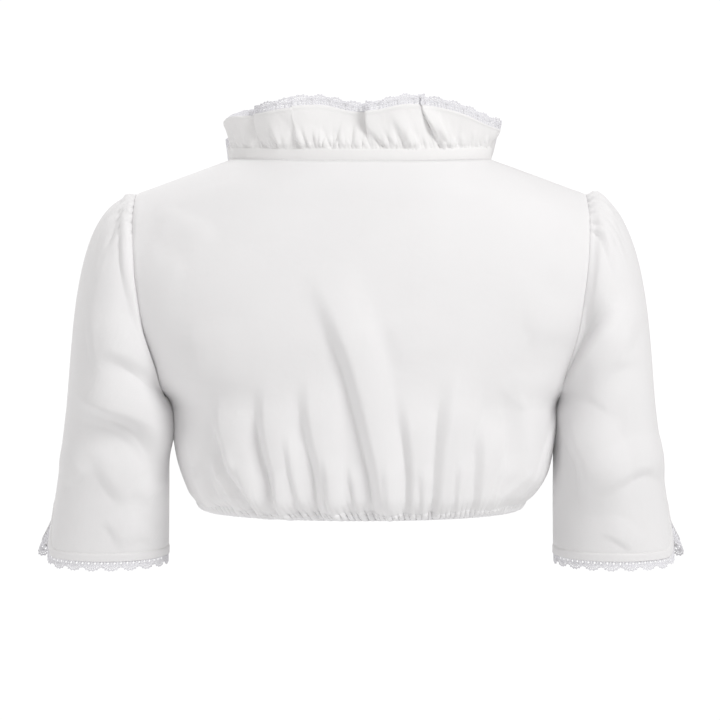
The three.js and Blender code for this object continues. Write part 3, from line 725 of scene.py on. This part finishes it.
def neck_loop():
    """Evenly spaced points of the neckline, from the middle of the back past the wearer's left shoulder."""
    share = np.linspace(-1, 1, HALF_NECK_POINTS, endpoint=False)
    across = NECK_ACROSS * np.sin(share * np.pi / 2)
    behind = body_surface(across, neck_section(across, True))
    in_front = body_surface(-across, neck_section(-across, False))
    loop = np.roll(np.concatenate([behind, in_front]), -HALF_NECK_POINTS // 2, axis=0)
    closed = np.concatenate([loop, loop[:1]])
    lengths = run_lengths(closed)
    even = np.linspace(0, lengths[-1], NECK_POINTS, endpoint=False)
    return at_lengths(even, lengths, closed), lengths[-1]


NECK_LOOP, NECK_ROUND = neck_loop()
NECK_TURNS = np.arange(len(NECK_LOOP)) / len(NECK_LOOP)


def neckline(turn):
    """The neckline's point at places round the neck, counted in turns."""
    flat = np.asarray(turn, float) % 1
    return np.stack([np.interp(flat, NECK_TURNS, NECK_LOOP[:, axis], period=1) for axis in range(3)], axis=-1)


def collar_point(turn, height, out=0, slide=0):
    """A place on the collar, millimetres up from the neckline, outwards and along, leaning as it rises."""
    step = 0.006
    tangent = unit(neckline(turn + step) - neckline(turn - step))
    level_out = unit(points(-tangent[..., 1], tangent[..., 0], 0))
    share = np.clip((height - BAND_TOP) / around(RUFFLE_HEIGHT, turn), 0, 1.5)
    lean = np.radians(around(RUFFLE_LEAN, turn))

    def direction(angle):
        rise = points(0, 0, np.cos(angle)) + level_out * np.sin(angle)[..., None]
        return unit(rise - tangent * np.sum(rise * tangent, axis=-1, keepdims=True))

    rise = direction(lean * (0.5 + 0.25 * share))
    facing = np.cross(direction(lean * (0.5 + 0.5 * share)), tangent)
    return (
        neckline(turn)
        + rise * np.asarray(height)[..., None]
        + facing * np.asarray(out)[..., None]
        + tangent * np.asarray(slide)[..., None]
    )


def wave_out(turn):
    """How far the large waves carry the ruffle's top edge outwards."""
    total = np.zeros(np.shape(turn))
    for middle, half, out in RUFFLE_WAVES:
        away = turn - middle
        total += out * bell(away - np.round(away), half)
    return total


# Where the ruffle folds over itself: place round the neck, half width, how far the fold overhangs, how far
# the cloth steps outwards from a smaller to a larger turn, and how much further round the fold lies at the
# band. The sign of the step says which side lies outside.
RUFFLE_LAPS = [
    (0.0765, 0.005, 4, -2.5, -0.0085),
    (0.1178, 0.005, 5, -6, 0),
    (-0.0068, 0.005, 5, -5, 0),
    (-0.0674, 0.0045, 5, -4, -0.021),
    (-0.17, 0.0055, 4, 5, 0),
    (0.205, 0.0055, 4, 5, 0),
    (0.3, 0.0055, 4, -5, 0.01),
    (0.375, 0.0055, 4, 5, 0),
    (0.46, 0.0055, 5, -6, 0),
    (0.55, 0.0055, 4, 5, -0.01),
    (0.63, 0.0055, 4, -5, 0),
    (0.715, 0.0055, 4, 5, 0),
]
# The lobe whose edge rolls back: its place round the neck, half width and added height.
ROLLED_LOBE = (0.15, 0.024, 10)
# The gathers that show behind, as paths of (millimetres round the neck, millimetres up the ruffle) from their
# heads down to the band: lift and width of the steep flank.
RUFFLE_FOLDS = [
    ([(104, 8), (102, 0)], 1.0, 2.1),
    ([(94, 10), (92, 0)], 0.8, 1.9),
    ([(88, 13), (84, 4), (81, 0)], 1.3, 2.5),
    ([(82, 22), (77, 9), (72, 0)], 1.9, 3.8),
    ([(70, 12), (66, 0)], 0.8, 2.1),
    ([(62, 17), (55, 5), (51, 0)], 2.2, 3.4),
    ([(52, 22), (48, 7), (44, 0)], 1.8, 3.0),
    ([(44, 19), (40, 7), (38, 0)], 1.6, 2.7),
    ([(37, 16), (36, 6), (35, 0)], 1.3, 2.2),
    ([(30, 14), (32, 6), (33, 0)], 1.3, 2.2),
    ([(18, 24), (20, 11), (24, 0)], 1.6, 3.4),
    ([(13, 11), (14, 0)], 0.8, 2.0),
    ([(6, 26), (7, 11), (8, 0)], 1.4, 3.0),
    ([(-4, 23), (-13, 8), (-22, 0)], 1.6, 2.9),
    ([(-14, 21), (-24, 7), (-30, 0)], 1.4, 2.5),
    ([(-20, 29), (-30, 16), (-38, 0)], 2.4, 4.2),
    ([(-32, 21), (-38, 7), (-43, 0)], 1.3, 2.5),
    ([(-42, 14), (-45, 6), (-46, 0)], 1.0, 2.0),
    ([(-52, 42), (-56, 31), (-62, 14), (-69, 0)], 2.6, 3.4),
    ([(-62, 26), (-69, 10), (-78, 0)], 2.2, 3.4),
    ([(-84, 13), (-90, 0)], 0.8, 2.5),
    ([(-96, 17), (-101, 0)], 0.8, 2.9),
    ([(-112, 12), (-116, 0)], 0.8, 2.4),
]
# The other gathers, long ones on the hidden sides and fine ones all round: how many, their depth, half width
# in turns, the least and greatest share of the height that they reach, and their share of the depth behind.
RUFFLE_GATHERS = [(88, 2.6, 0.002, 0.25, 0.8, 0.35), (210, 1.7, 0.0012, 0.12, 0.34, 1)]


def ruffle_gathers(turn, rise):
    """How far the narrow hollows go in, which start at the band and lean over as they rise."""
    draw = np.random.default_rng(5)
    total = np.zeros(np.broadcast(turn, rise).shape)
    for count, deep, half, least, most, behind in RUFFLE_GATHERS:
        middle = (np.arange(count) + draw.uniform(-0.35, 0.35, count)) / count
        hidden = smooth(0.13, 0.18, np.abs(middle - np.round(middle)))
        depth = deep * draw.uniform(0.35, 1.1, count) * (behind + (1 - behind) * hidden)
        reach = draw.uniform(least**0.5, most**0.5, count) ** 2
        widen = draw.uniform(0.8, 2.2, count)
        tip = draw.uniform(0, 0.026, count)
        for place, strength, high, wide, over in zip(middle, depth, reach, widen, tip):
            away = turn - place - over * rise
            away = away - np.round(away)
            total += strength * cusp(away, half * (1 + wide * rise)) * np.exp(-((rise / high) ** 2))
    return total


def ruffle_shape(turn, share, lace=0.0):
    """A place on the ruffle: share is 0 at the band, 1 at the cloth's top, and lace is millimetres above."""
    rolled = bell(turn - np.round(turn) - ROLLED_LOBE[0], ROLLED_LOBE[1])
    full = around(RUFFLE_HEIGHT, turn) + ROLLED_LOBE[2] * rolled
    rise = np.maximum(share, 0)
    out = wave_out(turn) * rise**1.2 + 0.9 * smooth(0, 0.12, rise)
    out -= ruffle_gathers(turn, rise) * (0.4 + smooth(0, 0.1, rise))
    run, up = np.broadcast_arrays((turn - np.round(turn)) * NECK_ROUND, rise * full)
    out += add_folds(run, up, RUFFLE_FOLDS, RUFFLE_STYLE, -1) * (0.3 + smooth(0, 0.12, rise))
    slide = np.zeros(out.shape)
    open_up = smooth(0.1, 0.8, rise)
    # Each lap slides the cloth over itself and steps it outwards, which fades within a few widths.
    for place, half, far, step, lean in RUFFLE_LAPS:
        away = turn - place - lean * (1 - np.minimum(rise, 1))
        away = (away - np.round(away)) / half
        slide -= far * open_up * away * np.exp(0.5 - away**2 / 2)
        out += step * open_up * (np.tanh(1.5 * away) - np.tanh(away / 5)) * np.exp(-np.abs(away) / 9)
    out -= 0.85 * rolled * lace
    return collar_point(turn, BAND_TOP + 0.3 + share * full + lace * (1 - 0.75 * rolled), out, slide)


RUFFLE_COLUMNS = 1260
# The rows of the collar's meshes: millimetres up the band, and shares of the ruffle's height.
BAND_ROWS = np.array([-1.5, 0.1, 0.9, 1.3, 2.4, 4, 5.6, 7.2, 8.6, 9.2, 9.6])
RUFFLE_ROWS = np.concatenate(
    [[-0.02], np.linspace(0, 0.3, 9), np.linspace(0.36, 0.88, 9), [0.905, 0.93, 0.96, 1]]
)
# How far the ruffle's narrow hem stands out, and how much the band swells at its edges and more between them.
RUFFLE_HEM = 0.3
BAND_SWELL = (0.2, 0.3)


def collar():
    """The neck band and the ruffle."""
    turn = -np.arange(RUFFLE_COLUMNS)[None, :] / RUFFLE_COLUMNS
    coarse = turn[:, ::3]
    height = BAND_ROWS[:, None]
    crown = np.sin(np.pi * np.clip(height / BAND_ROWS[-1], 0, 1)) ** 0.5
    puff = smooth(-1, 3, height) * (BAND_SWELL[0] + BAND_SWELL[1] * crown)
    draw = np.random.default_rng(8)
    ripple = np.interp(coarse % 1, np.linspace(0, 1, 150), draw.uniform(-0.3, 0.3, 150), period=1)
    place = collar_point(coarse, height, puff + ripple * puff)
    band = shell("neck_band_cloth", "neck_band", place, grid_normals(place, True), FRILL_PAINTED_LIGHTER, ring=True)

    share = RUFFLE_ROWS[:, None]
    place = ruffle_shape(turn, share)
    normal = grid_normals(place, True)
    hem = RUFFLE_HEM * smooth(0.9, 0.93, share) * smooth(0, 0.02, 1.005 - share)
    place = place + normal * hem[..., None]
    return band, shell("ruffle_cloth", "collar_ruffle", place, normal, FRILL_PAINTED_LIGHTER, ring=True)


# The sleeves
def ring_point(ring, turn):
    """A point of a ring of the sleeve, counted in turns from the inside round the back."""
    x, y, z, half_width, half_depth, tilt = ring
    angle = 2 * np.pi * turn
    back = half_depth * np.sin(angle)
    slope = math.radians(tilt)
    return points(x - half_width * np.cos(angle), y + back * math.cos(slope), z - back * math.sin(slope))


def hermite(start, start_way, end, end_way, t):
    """A smooth curve from start to end that leaves and arrives in given directions."""
    t = t[..., None]
    return (
        start * (2 * t**3 - 3 * t**2 + 1)
        + start_way * (t**3 - 2 * t**2 + t)
        + end * (3 * t**2 - 2 * t**3)
        + end_way * (t**3 - t**2)
    )


def armhole(turn):
    """The left armhole's point, counted in turns from the armpit round the back."""
    first, last = SECTION["back armpit"], SECTION["front armpit"]
    return body_surface(1.0, first + (last - first) * (turn % 1))


def sleeve_surface(turn, down):
    """The sleeve before folds: down is 0 at the armhole, 1 at the armpit's level and 2 at the cuff."""
    turn, down = np.broadcast_arrays(turn, down)
    top, middle, cuff = [ring_point(ring, turn) for ring in SLEEVE_RINGS]
    fall = middle - top
    whole_fall = (cuff - top) / 2
    away = points(*[around(CAP_LEAVES[axis], turn) for axis in "xyz"])
    start = armhole(turn) + unit(away) * (SHELL_OUT + ARMHOLE_GAP)
    outside = (np.sin(np.pi * turn) ** 2)[..., None]
    pull = FALL_UNDER_ARM + (FALL_OUTSIDE - FALL_UNDER_ARM) * outside
    cap = hermite(start, away, top, fall * pull, np.clip(down, 0, 1))
    upper = hermite(top, fall, middle, whole_fall, np.clip(down - 1, 0, 0.5) * 2)
    lower = hermite(middle, whole_fall, cuff, cuff - middle, np.clip(down - 1.5, 0, 1) * 2)
    down = down[..., None]
    return np.where(down < 1, cap, np.where(down < 1.5, upper, lower))


def slit_edge(distance):
    """How high the cloth's edge lies above the hem line, at distances round the cuff from the slit."""
    distance = np.abs(distance)

    def half_gap(height):
        corner = np.maximum(SLIT_CORNER_RADIUS - height, 0)
        rounding = SLIT_CORNER_RADIUS - np.sqrt(SLIT_CORNER_RADIUS**2 - corner**2)
        return SLIT_TOP_HALF_GAP + SLIT_SLANT * (1 - height / SLIT_HEIGHT) + rounding

    low = np.zeros(distance.shape)
    crossing = halve(low, low + SLIT_HEIGHT, lambda height: half_gap(height) > distance)
    slope = crossing * (1 - SLIT_TOP_DROP / SLIT_HEIGHT)
    top = SLIT_HEIGHT - SLIT_TOP_DROP * (distance / SLIT_TOP_HALF_GAP) ** 2
    return np.where(distance <= SLIT_TOP_HALF_GAP, top, np.where(distance < half_gap(np.zeros(1)), slope, 0))


# Folds of the wearer's left and right sleeve as seen from behind: paths of (x, z), x counted outwards.
LEFT_FOLDS = [
    ([(233, -118), (232, -147), (228, -174), (223, -196)], 3.0, 10, -1),
    ([(224, -170), (206, -175), (190, -186), (176, -204)], 6.0, 11, -1),
    ([(254, -203), (234, -215), (214, -222), (197, -229), (186, -243), (174, -268)], 10.5, 12, -1),
    ([(246, -210), (226, -220), (206, -227), (190, -240), (178, -262)], -3.6, 8, 1),
    ([(232, -256), (218, -278), (202, -300)], 4.2, 11, -1),
    ([(221, -267), (235, -274), (254, -283)], 2.4, 9, 1),
    ([(223, -308), (213, -320), (208, -335)], 2.4, 8, -1),
    ([(164, -276), (174, -286), (182, -298)], 3.0, 5, 1),
    ([(169, -313), (179, -332)], 1.6, 5, 1),
]
LEFT_CAP_FOLDS = [
    ([(186, -158), (192, -140), (196, -122), (200, -104), (202, -86), (202, -66), (201, -50)], 3.4, 4, 1),
    ([(214, -90), (211, -74), (205, -56), (198, -42)], 3.6, 5, 1),
    ([(229, -88), (224, -68), (215, -50), (204, -36)], 2.6, 5, 1),
    ([(206, -74), (201, -60), (195, -48)], 1.6, 3, 1),
]
RIGHT_FOLDS = [
    ([(218, -108), (204, -133), (191, -155), (180, -174), (166, -198)], 8.4, 9, 1),
    ([(212, -122), (200, -140), (188, -160), (176, -182), (162, -206)], -5.4, 7, -1),
    ([(200, -182), (220, -180), (240, -174)], 1.8, 9, 1),
    ([(178, -197), (195, -209), (214, -222)], 1.2, 7, 1),
    ([(163, -208), (175, -243), (183, -268), (184, -306)], 8.0, 12, 1),
    ([(166, -226), (168, -250), (165, -284)], 2.0, 6, 1),
    ([(202, -294), (223, -277), (242, -270), (262, -282)], 4.0, 10, 1),
    ([(200, -322), (215, -327), (232, -339)], 1.8, 6, 1),
]
RIGHT_CAP_FOLDS = [
    ([(216, -116), (208, -94), (201, -70), (196, -50), (192, -38)], 3.8, 5, -1),
    ([(218, -74), (208, -54), (199, -40), (192, -32)], 2.4, 5, -1),
    ([(188, -140), (193, -118), (196, -96), (198, -72)], 2.4, 4, -1),
]
# Hidden folds of both sleeves, as seen from the front.
FRONT_SLEEVE_FOLDS = [
    ([(195, -52), (197, -84), (192, -122)], 2.8, 4, 1),
    ([(204, -46), (212, -66), (214, -92)], 2.2, 5, 1),
    ([(218, -48), (228, -68), (232, -90)], 1.7, 5, 1),
    ([(236, -196), (212, -214), (186, -222), (172, -240)], 4.8, 10, -1),
    ([(226, -160), (204, -176), (184, -192)], 3.1, 9, -1),
    ([(246, -268), (222, -262), (196, -280)], 3.1, 10, -1),
    ([(206, -304), (196, -320)], 1.7, 7, 1),
]


LEFT = (LEFT_FOLDS, LEFT_CAP_FOLDS)
RIGHT = (RIGHT_FOLDS, RIGHT_CAP_FOLDS)
# Small gathers where the sleeve is set into the shoulder.
CAP_GATHERS = np.array([0.33, 0.355, 0.385, 0.41, 0.44, 0.465, 0.49, 0.515, 0.545, 0.57, 0.6, 0.63, 0.66])
# The least and greatest depth of these gathers and how far down they reach, and their half width in turns.
CAP_DEPTH = (1.0, 2.2)
CAP_REACH = (0.12, 0.3)
CAP_HALF = 0.006


def sleeve_lift(place, folds):
    """How far the folds lift the cloth of a sleeve, at places on its plain surface."""
    x, y, z = place[..., 0], place[..., 1], place[..., 2]
    centres = np.array(SLEEVE_RINGS)
    behind = smooth(-14, 10, y - np.interp(-z, [218, 278, 338], centres[:, 1]))
    across, from_cap = folds
    seen = add_folds(x, z, across, SLEEVE_STYLE) + add_folds(x, z, from_cap, CAP_STYLE)
    return behind * seen + (1 - behind) * add_folds(x, z, FRONT_SLEEVE_FOLDS, HIDDEN_STYLE)


def cap_push(turn, down):
    """How far the small gathers at the shoulder go in."""
    draw = np.random.default_rng(3)
    push = np.zeros(np.broadcast(turn, down).shape)
    for middle in CAP_GATHERS:
        deep = draw.uniform(*CAP_DEPTH)
        high = draw.uniform(*CAP_REACH)
        push += deep * bell(turn - middle, CAP_HALF * (1 + 3 * down)) * np.exp(-((down / high) ** 1.4))
    return push


# Half the step, in turns, between the places from which a sleeve's outward direction is taken.
SLEEVE_STEP = 0.004


def cuff_point(distance, height, folds):
    """A place near the cuff: millimetres round it from the slit, and up from the hem line along the cloth."""
    turn = 0.5 + distance / CUFF_ROUND
    cuff = ring_point(SLEEVE_RINGS[2], turn)
    fall = cuff - ring_point(SLEEVE_RINGS[1], turn)
    length = np.linalg.norm(fall, axis=-1)
    down = 2 - np.maximum(height, 0) / (2 * length)
    place = sleeve_surface(turn, down)
    across = sleeve_surface(turn + SLEEVE_STEP, down) - sleeve_surface(turn - SLEEVE_STEP, down)
    normal = unit(np.cross(across, fall))
    place = place + normal * sleeve_lift(place, folds)[..., None]
    place = place + unit(fall) * np.maximum(-height, 0)[..., None]
    # The slit's front edge stands further out to the side.
    lift = 1 - smooth(-5, SLIT_HEIGHT, height)
    place[..., 0] += SLIT_FLARE * lift * smooth(0, 14, distance) * (1 - smooth(14, 60, distance))
    return place


# The cuff's edge: how many points it is found with, how many even ones it has, and over how many of them
# its direction is smoothed.
EDGE_SAMPLES = 4001
EDGE_POINTS = 1200
EDGE_SMOOTHING = 9


def outline():
    """The cuff's edge as evenly spaced places (distance, height) with the direction away from the cloth."""
    distance = np.linspace(-CUFF_ROUND / 2, CUFF_ROUND / 2, EDGE_SAMPLES)
    line = np.stack([distance, slit_edge(distance)], axis=-1)
    lengths = run_lengths(line)
    even = np.linspace(0, lengths[-1], EDGE_POINTS)
    line = at_lengths(even, lengths, line)
    run = unit(np.gradient(line, axis=0))
    kernel = np.ones(EDGE_SMOOTHING) / EDGE_SMOOTHING
    for axis in range(2):
        padded = np.pad(run[:, axis], EDGE_SMOOTHING // 2, mode="edge")
        run[:, axis] = np.convolve(padded, kernel, mode="valid")
    run = unit(run)
    return even, line, np.stack([run[:, 1], -run[:, 0]], axis=-1)


EDGE_LENGTHS, EDGE_LINE, EDGE_AWAY = outline()


def edge_distance(distance, height):
    """How far places on the cuff's cloth lie from its edge."""
    best = np.full(distance.shape, 1e9)
    for step in range(0, len(EDGE_LINE), 4):
        best = np.minimum(best, np.hypot(distance - EDGE_LINE[step, 0], height - EDGE_LINE[step, 1]))
    return best


SLEEVE_COLUMNS = 110
# The rows of the sleeve's mesh from the armhole down to the slit's top.
SLEEVE_ROWS = np.concatenate([[0, 0.012, 0.028, 0.05], np.linspace(0.075, 1.615, 92)])
# The rows from there down to the edge, as shares of the height above it, closer together over the hem.
CUFF_ROWS = np.concatenate([np.linspace(1, 0.2, 26), np.linspace(0.17, 0, 14)])
# How far the seam allowance goes back under the body's panels, and how deep it lies there.
ALLOWANCE = ((4, 1.9), (1.2, 1.3))
# How deep the armhole's seam lies, and how far the cloth beside it swells.
ARMHOLE_DENT = 0.15
ARMHOLE_ROLL = 0.2
# The cuff's hem: how wide, how far it stands out and how deep its stitches lie.
CUFF_HEM = 7
CUFF_HEM_OUT = 0.45
CUFF_HEM_DENT = 0.4
# The right sleeve is made as a left one and mirrored in X.
MIRROR = np.array([-1, 1, 1])


def sleeve(name, folds, mirror):
    """A sleeve in one piece with the stitches of its hem."""
    # The columns stand closer together at the slit.
    share = np.linspace(0, 1, SLEEVE_COLUMNS + 1)
    half = CUFF_ROUND / 2 * (0.55 * share + 0.45 * share**2)
    distance = np.concatenate([-half[:0:-1][1:], half])
    turn = 0.5 + distance[None, :] / CUFF_ROUND
    down = SLEEVE_ROWS[:, None]
    upper = sleeve_surface(turn, down)
    normal = outward(sleeve_surface, turn, down, SLEEVE_STEP)
    lift = sleeve_lift(upper, folds) * smooth(0, 0.04, down) - cap_push(turn, down)
    lift = lift - ARMHOLE_DENT * bell(down, 0.02) + ARMHOLE_ROLL * bell(down - 0.06, 0.03)
    upper = upper + normal * lift[..., None]
    way = unit(upper[3] - upper[0])
    tucked = [upper[0] - way * back_by - normal[0] * under for back_by, under in ALLOWANCE]
    upper = np.concatenate([np.stack(tucked), upper])

    edge = slit_edge(distance)[None, :]
    height = edge + (SLIT_HEIGHT + 3 - edge) * CUFF_ROWS[:, None]
    spread = np.broadcast_to(distance[None, :], height.shape)
    lower = cuff_point(spread, height, folds)
    from_edge = edge_distance(spread, height)
    place = np.concatenate([upper, lower])
    normal = grid_normals(place, ring=True)
    hem = CUFF_HEM_OUT * (1 - smooth(CUFF_HEM - 0.5, CUFF_HEM + 0.5, from_edge))
    dent = CUFF_HEM_DENT * bell(from_edge - CUFF_HEM, 0.8)
    place[len(upper):] += normal[len(upper):] * (hem - dent)[..., None]
    if mirror:
        place = (place * MIRROR)[:, ::-1]
    piece = shell(name + "_cloth", name, place, grid_normals(place, True), CLOTH, ring=True)

    def on_cuff(distance, height):
        return cuff_point(distance, height, folds)

    distance, height = (EDGE_LINE - EDGE_AWAY * CUFF_HEM).T
    normal = -outward(on_cuff, distance, height, 1)
    line = on_cuff(distance, height) + normal * (0.5 * CUFF_HEM_OUT - CUFF_HEM_DENT)
    if mirror:
        line, normal = line * MIRROR, normal * MIRROR
    return piece, stitches(name + "_stitches", line, normal)


# Lace
def arc_line(start, end, bulge, count):
    """Points from start to end, bowed sideways by bulge."""
    share = np.linspace(0, 1, count)
    start, end = np.array(start, float), np.array(end, float)
    run = end - start
    side = np.array([-run[1], run[0]]) / np.linalg.norm(run)
    return start + run * share[:, None] + side * (4 * bulge * share * (1 - share))[:, None]


MOTIF = 15.0
LACE_WIDTH = 9.2
LACE_THICKNESS = 0.6
# How far the lace laps under the cloth's edge.
LACE_LAP = 0.4
# The straight lines along the lace as distances from the cloth and half widths, and one more where it is
# dense.
LINES = [(0.5, 0.75), (3.7, 0.65)]
DENSE_LINE = (2.1, 0.4)
# The pairs of bars between the lines: their places, half the distance of a pair, half a bar's width,
# the distances of its ends from the cloth and how far it bows.
BARS = (0, 5, 10)
BARS_APART = 1
BAR_HALF = 0.85
BAR_ENDS = (0.8, 3.6)
BAR_BOW = 0.6
# The fan of a scallop: its foot, how much wider than high it is, its arcs as reaches and half widths, and
# the half width of its rays.
FAN_FOOT = np.array([MOTIF / 2, 3.4])
FAN_SPREAD = 1.28
FAN_ARCS = [(1.3, 0.6), (3.2, 0.4), (4.9, 0.65)]
RAY_HALF = 0.4
# The small loops on the fan's edge: turns in shares of their half angle, and reaches.
LOOP = ((-1, 5), (-0.5, 5.7), (0, 6), (0.5, 5.7), (1, 5))
LOOP_WING = math.radians(7)
LOOP_HALF = 0.34
# The lower fan that fills the gap between one scallop and the next where the lace is dense.
LOW_FOOT = np.array([0, 3.6])
LOW_ARCS = [(2.2, 0.35), (3.8, 0.55)]
LOW_RAY_HALF = 0.38
# The threads that join one scallop to the next.
LINKS = [((0, 3.7), (0, 5.3)), ((0, 5.1), (1.8, 6.2)), ((MOTIF - 1.8, 6.2), (MOTIF, 5.1))]
LINK_HALF = 0.55


def motif_threads(dense):
    """The threads of one scallop as (line, half width): along 0 to 15 mm, and 0 to 9.2 mm from the cloth."""

    def fan(foot, spread, angles, reaches):
        way = np.stack([spread * np.sin(angles), np.cos(angles)], axis=-1)
        return foot + way * np.reshape(reaches, (-1, 1))

    def rays(foot, spread, angles, reaches, half):
        for angle in np.radians(angles):
            threads.append((fan(foot, spread, angle, reaches), half))

    def arcs(foot, spread, angles, table):
        for reach, half in table:
            threads.append((fan(foot, spread, np.radians(angles), reach), half))

    threads = []
    for away, half in [DENSE_LINE] * dense + LINES:
        threads.append((arc_line((0, away), (MOTIF, away), 0, 9), half))
    for middle in BARS:
        for side in (-1, 1):
            start, end = [(middle + side * BARS_APART, away) for away in BAR_ENDS]
            threads.append((arc_line(start, end, -side * BAR_BOW, 5), BAR_HALF))
    if dense:
        rays(LOW_FOOT, 1, (-60, -30, 0, 30, 60), (0.4, 2.2, 4), LOW_RAY_HALF)
        arcs(LOW_FOOT, 1, np.linspace(-70, 70, 9), LOW_ARCS)
    rays(FAN_FOOT, FAN_SPREAD, np.linspace(-84, 84, 9), np.linspace(0.6, 4.9, 4), RAY_HALF)
    arcs(FAN_FOOT, FAN_SPREAD, np.linspace(-86, 86, 13), FAN_ARCS)
    turns, reaches = np.transpose(LOOP)
    for angle in np.radians(np.linspace(-64, 64, 6)):
        threads.append((fan(FAN_FOOT, FAN_SPREAD, angle + turns * LOOP_WING, reaches), LOOP_HALF))
    for start, end in LINKS:
        threads.append((arc_line(start, end, 0, 3), LINK_HALF))
    return threads


def lace(name, stands_for, motifs, surface, dense=False, mirror=False):
    """A strip of lace on surface(s, t), where s counts motifs along and t is millimetres from the cloth."""
    vertices, faces = [], []
    total = 0
    start = np.arange(motifs)[:, None]
    step = 0.02
    for line, half in motif_threads(dense):
        s = start + line[None, :, 0] / MOTIF
        t = np.broadcast_to(line[None, :, 1], s.shape)
        across = surface(s + step, t) - surface(s - step, t)
        away = surface(s, t + step * MOTIF) - surface(s, t)
        facing = unit(np.cross(across, away))
        tube, quads = tubes(surface(s, t), facing, half, LACE_THICKNESS / 2)
        vertices.append(tube)
        faces.append(quads + total)
        total += len(tube)
    vertices, faces = np.concatenate(vertices), np.concatenate(faces)
    if mirror:
        vertices = vertices * MIRROR
        faces = faces[:, ::-1]
    return make_object(name, stands_for, vertices, faces, LACE, vertices)


COLLAR_MOTIFS = 54
CUFF_MOTIFS = 23


def collar_lace_surface(s, t):
    return ruffle_shape(-s / COLLAR_MOTIFS, np.ones(s.shape), t - LACE_LAP)


def cuff_lace_surface(folds):
    def surface(s, t):
        reach = (s / CUFF_MOTIFS) % 1 * EDGE_LENGTHS[-1]
        line = at_lengths(reach, EDGE_LENGTHS, EDGE_LINE)
        away = at_lengths(reach, EDGE_LENGTHS, EDGE_AWAY)
        # The lace grows narrower up the slit, where its two sides meet.
        room = np.maximum(np.abs(line[..., 0]) - 0.5, 0.6)
        wide = LACE_WIDTH + (np.minimum(room, LACE_WIDTH) - LACE_WIDTH) * smooth(4, 14, line[..., 1])
        place = line + away * ((t - LACE_LAP) * wide / LACE_WIDTH)[..., None]
        return cuff_point(place[..., 0], place[..., 1], folds)

    return surface


# The pieces: the last two numbers of a panel are the seed of its gathers and how many rows its mesh has.
BACK_SEED, FRONT_SEED = 21, 22
back = body_panel("back", True, BACK_FOLDS, BACK_DRAPES, BACK_SEED, 104)
front = body_panel("front", False, FRONT_FOLDS, FRONT_DRAPES, FRONT_SEED, 90)
casing_back, casing_back_sewing = hem_casing("hem_casing_back", True, BACK_FOLDS, BACK_SEED)
casing_front, casing_front_sewing = hem_casing("hem_casing_front", False, FRONT_FOLDS, FRONT_SEED)
band, ruffle = collar()
sleeve_left, sleeve_left_sewing = sleeve("sleeve_left", LEFT, False)
sleeve_right, sleeve_right_sewing = sleeve("sleeve_right", RIGHT, True)
collar_lace = lace("collar_lace_threads", "collar_lace", COLLAR_MOTIFS, collar_lace_surface, dense=True)
cuff_lace_left, cuff_lace_right = [
    lace(node + "_threads", node, CUFF_MOTIFS, cuff_lace_surface(folds), mirror=mirror)
    for node, folds, mirror in (("cuff_lace_left", LEFT, False), ("cuff_lace_right", RIGHT, True))
]


# The stage: lights as name, place, size in metres and power in watts.
LIGHTS = [
    ("key", (-1.6, 1.9, 1.65), 1.2, 49),
    ("fill", (2.6, 1.1, 0.4), 1.6, 13),
    ("front_key", (1.4, -2.0, 1.5), 1.5, 22),
    ("top", (0, 0, 2.4), 2.0, 6),
]
LIT_PLACE = (0, 0, -0.17)
# The backdrop that the camera sees, and the dimmer one that lights the blouse, as colour and strength.
SEEN_WORLD = ((1, 1, 1, 1), 1.05)
LIGHTING_WORLD = ((1, 0.986, 0.978, 1), 0.49)
FLOOR_HALF = 2.4
FLOOR_Z = -0.9
FLOOR_COLOR = (0.93, 0.93, 0.93, 1)
CAMERA_PLACE = (0.00086, 2.4, -0.172)
CAMERA_LENS = 139.35


def background(shader, color, strength):
    shader.inputs["Color"].default_value = color
    shader.inputs["Strength"].default_value = strength
    return shader.outputs[0]


for name, place, size, power in LIGHTS:
    data = bpy.data.lights.new(name, "AREA")
    data.shape = "DISK"
    data.size = size
    data.energy = power
    light = link_object(name, data)
    light.location = place
    light.rotation_euler = (Vector(LIT_PLACE) - Vector(place)).to_track_quat("-Z", "Y").to_euler()

world = bpy.data.worlds.new("studio")
bpy.context.scene.world = world
world.use_nodes = True
tree = world.node_tree
light_path = tree.nodes.new("ShaderNodeLightPath")
mix = tree.nodes.new("ShaderNodeMixShader")
for socket, output in (
    (mix.inputs[0], light_path.outputs["Is Camera Ray"]),
    (mix.inputs[1], background(tree.nodes["Background"], *LIGHTING_WORLD)),
    (mix.inputs[2], background(tree.nodes.new("ShaderNodeBackground"), *SEEN_WORLD)),
    (tree.nodes["World Output"].inputs["Surface"], mix.outputs[0]),
):
    tree.links.new(output, socket)

floor_mesh = bpy.data.meshes.new("floor")
corners = [(x * FLOOR_HALF, y * FLOOR_HALF, FLOOR_Z) for x, y in ((-1, -1), (1, -1), (1, 1), (-1, 1))]
floor_mesh.from_pydata(corners, [], [(0, 1, 2, 3)])
floor_material = bpy.data.materials.new("pale_floor")
floor_material.use_nodes = True
floor_shader = floor_material.node_tree.nodes["Principled BSDF"]
floor_shader.inputs["Base Color"].default_value = FLOOR_COLOR
floor_shader.inputs["Roughness"].default_value = 0.9
floor_mesh.materials.append(floor_material)
link_object("floor", floor_mesh)

bpy.context.scene.view_settings.view_transform = "Standard"
bpy.context.scene.view_settings.look = "None"
camera_data = bpy.data.cameras.new("camera")
camera_data.sensor_width = 36
camera_data.lens = CAMERA_LENS
camera = link_object("camera", camera_data)
camera.location = CAMERA_PLACE
camera.rotation_euler = (math.radians(90), 0, math.radians(180))
bpy.context.scene.camera = camera
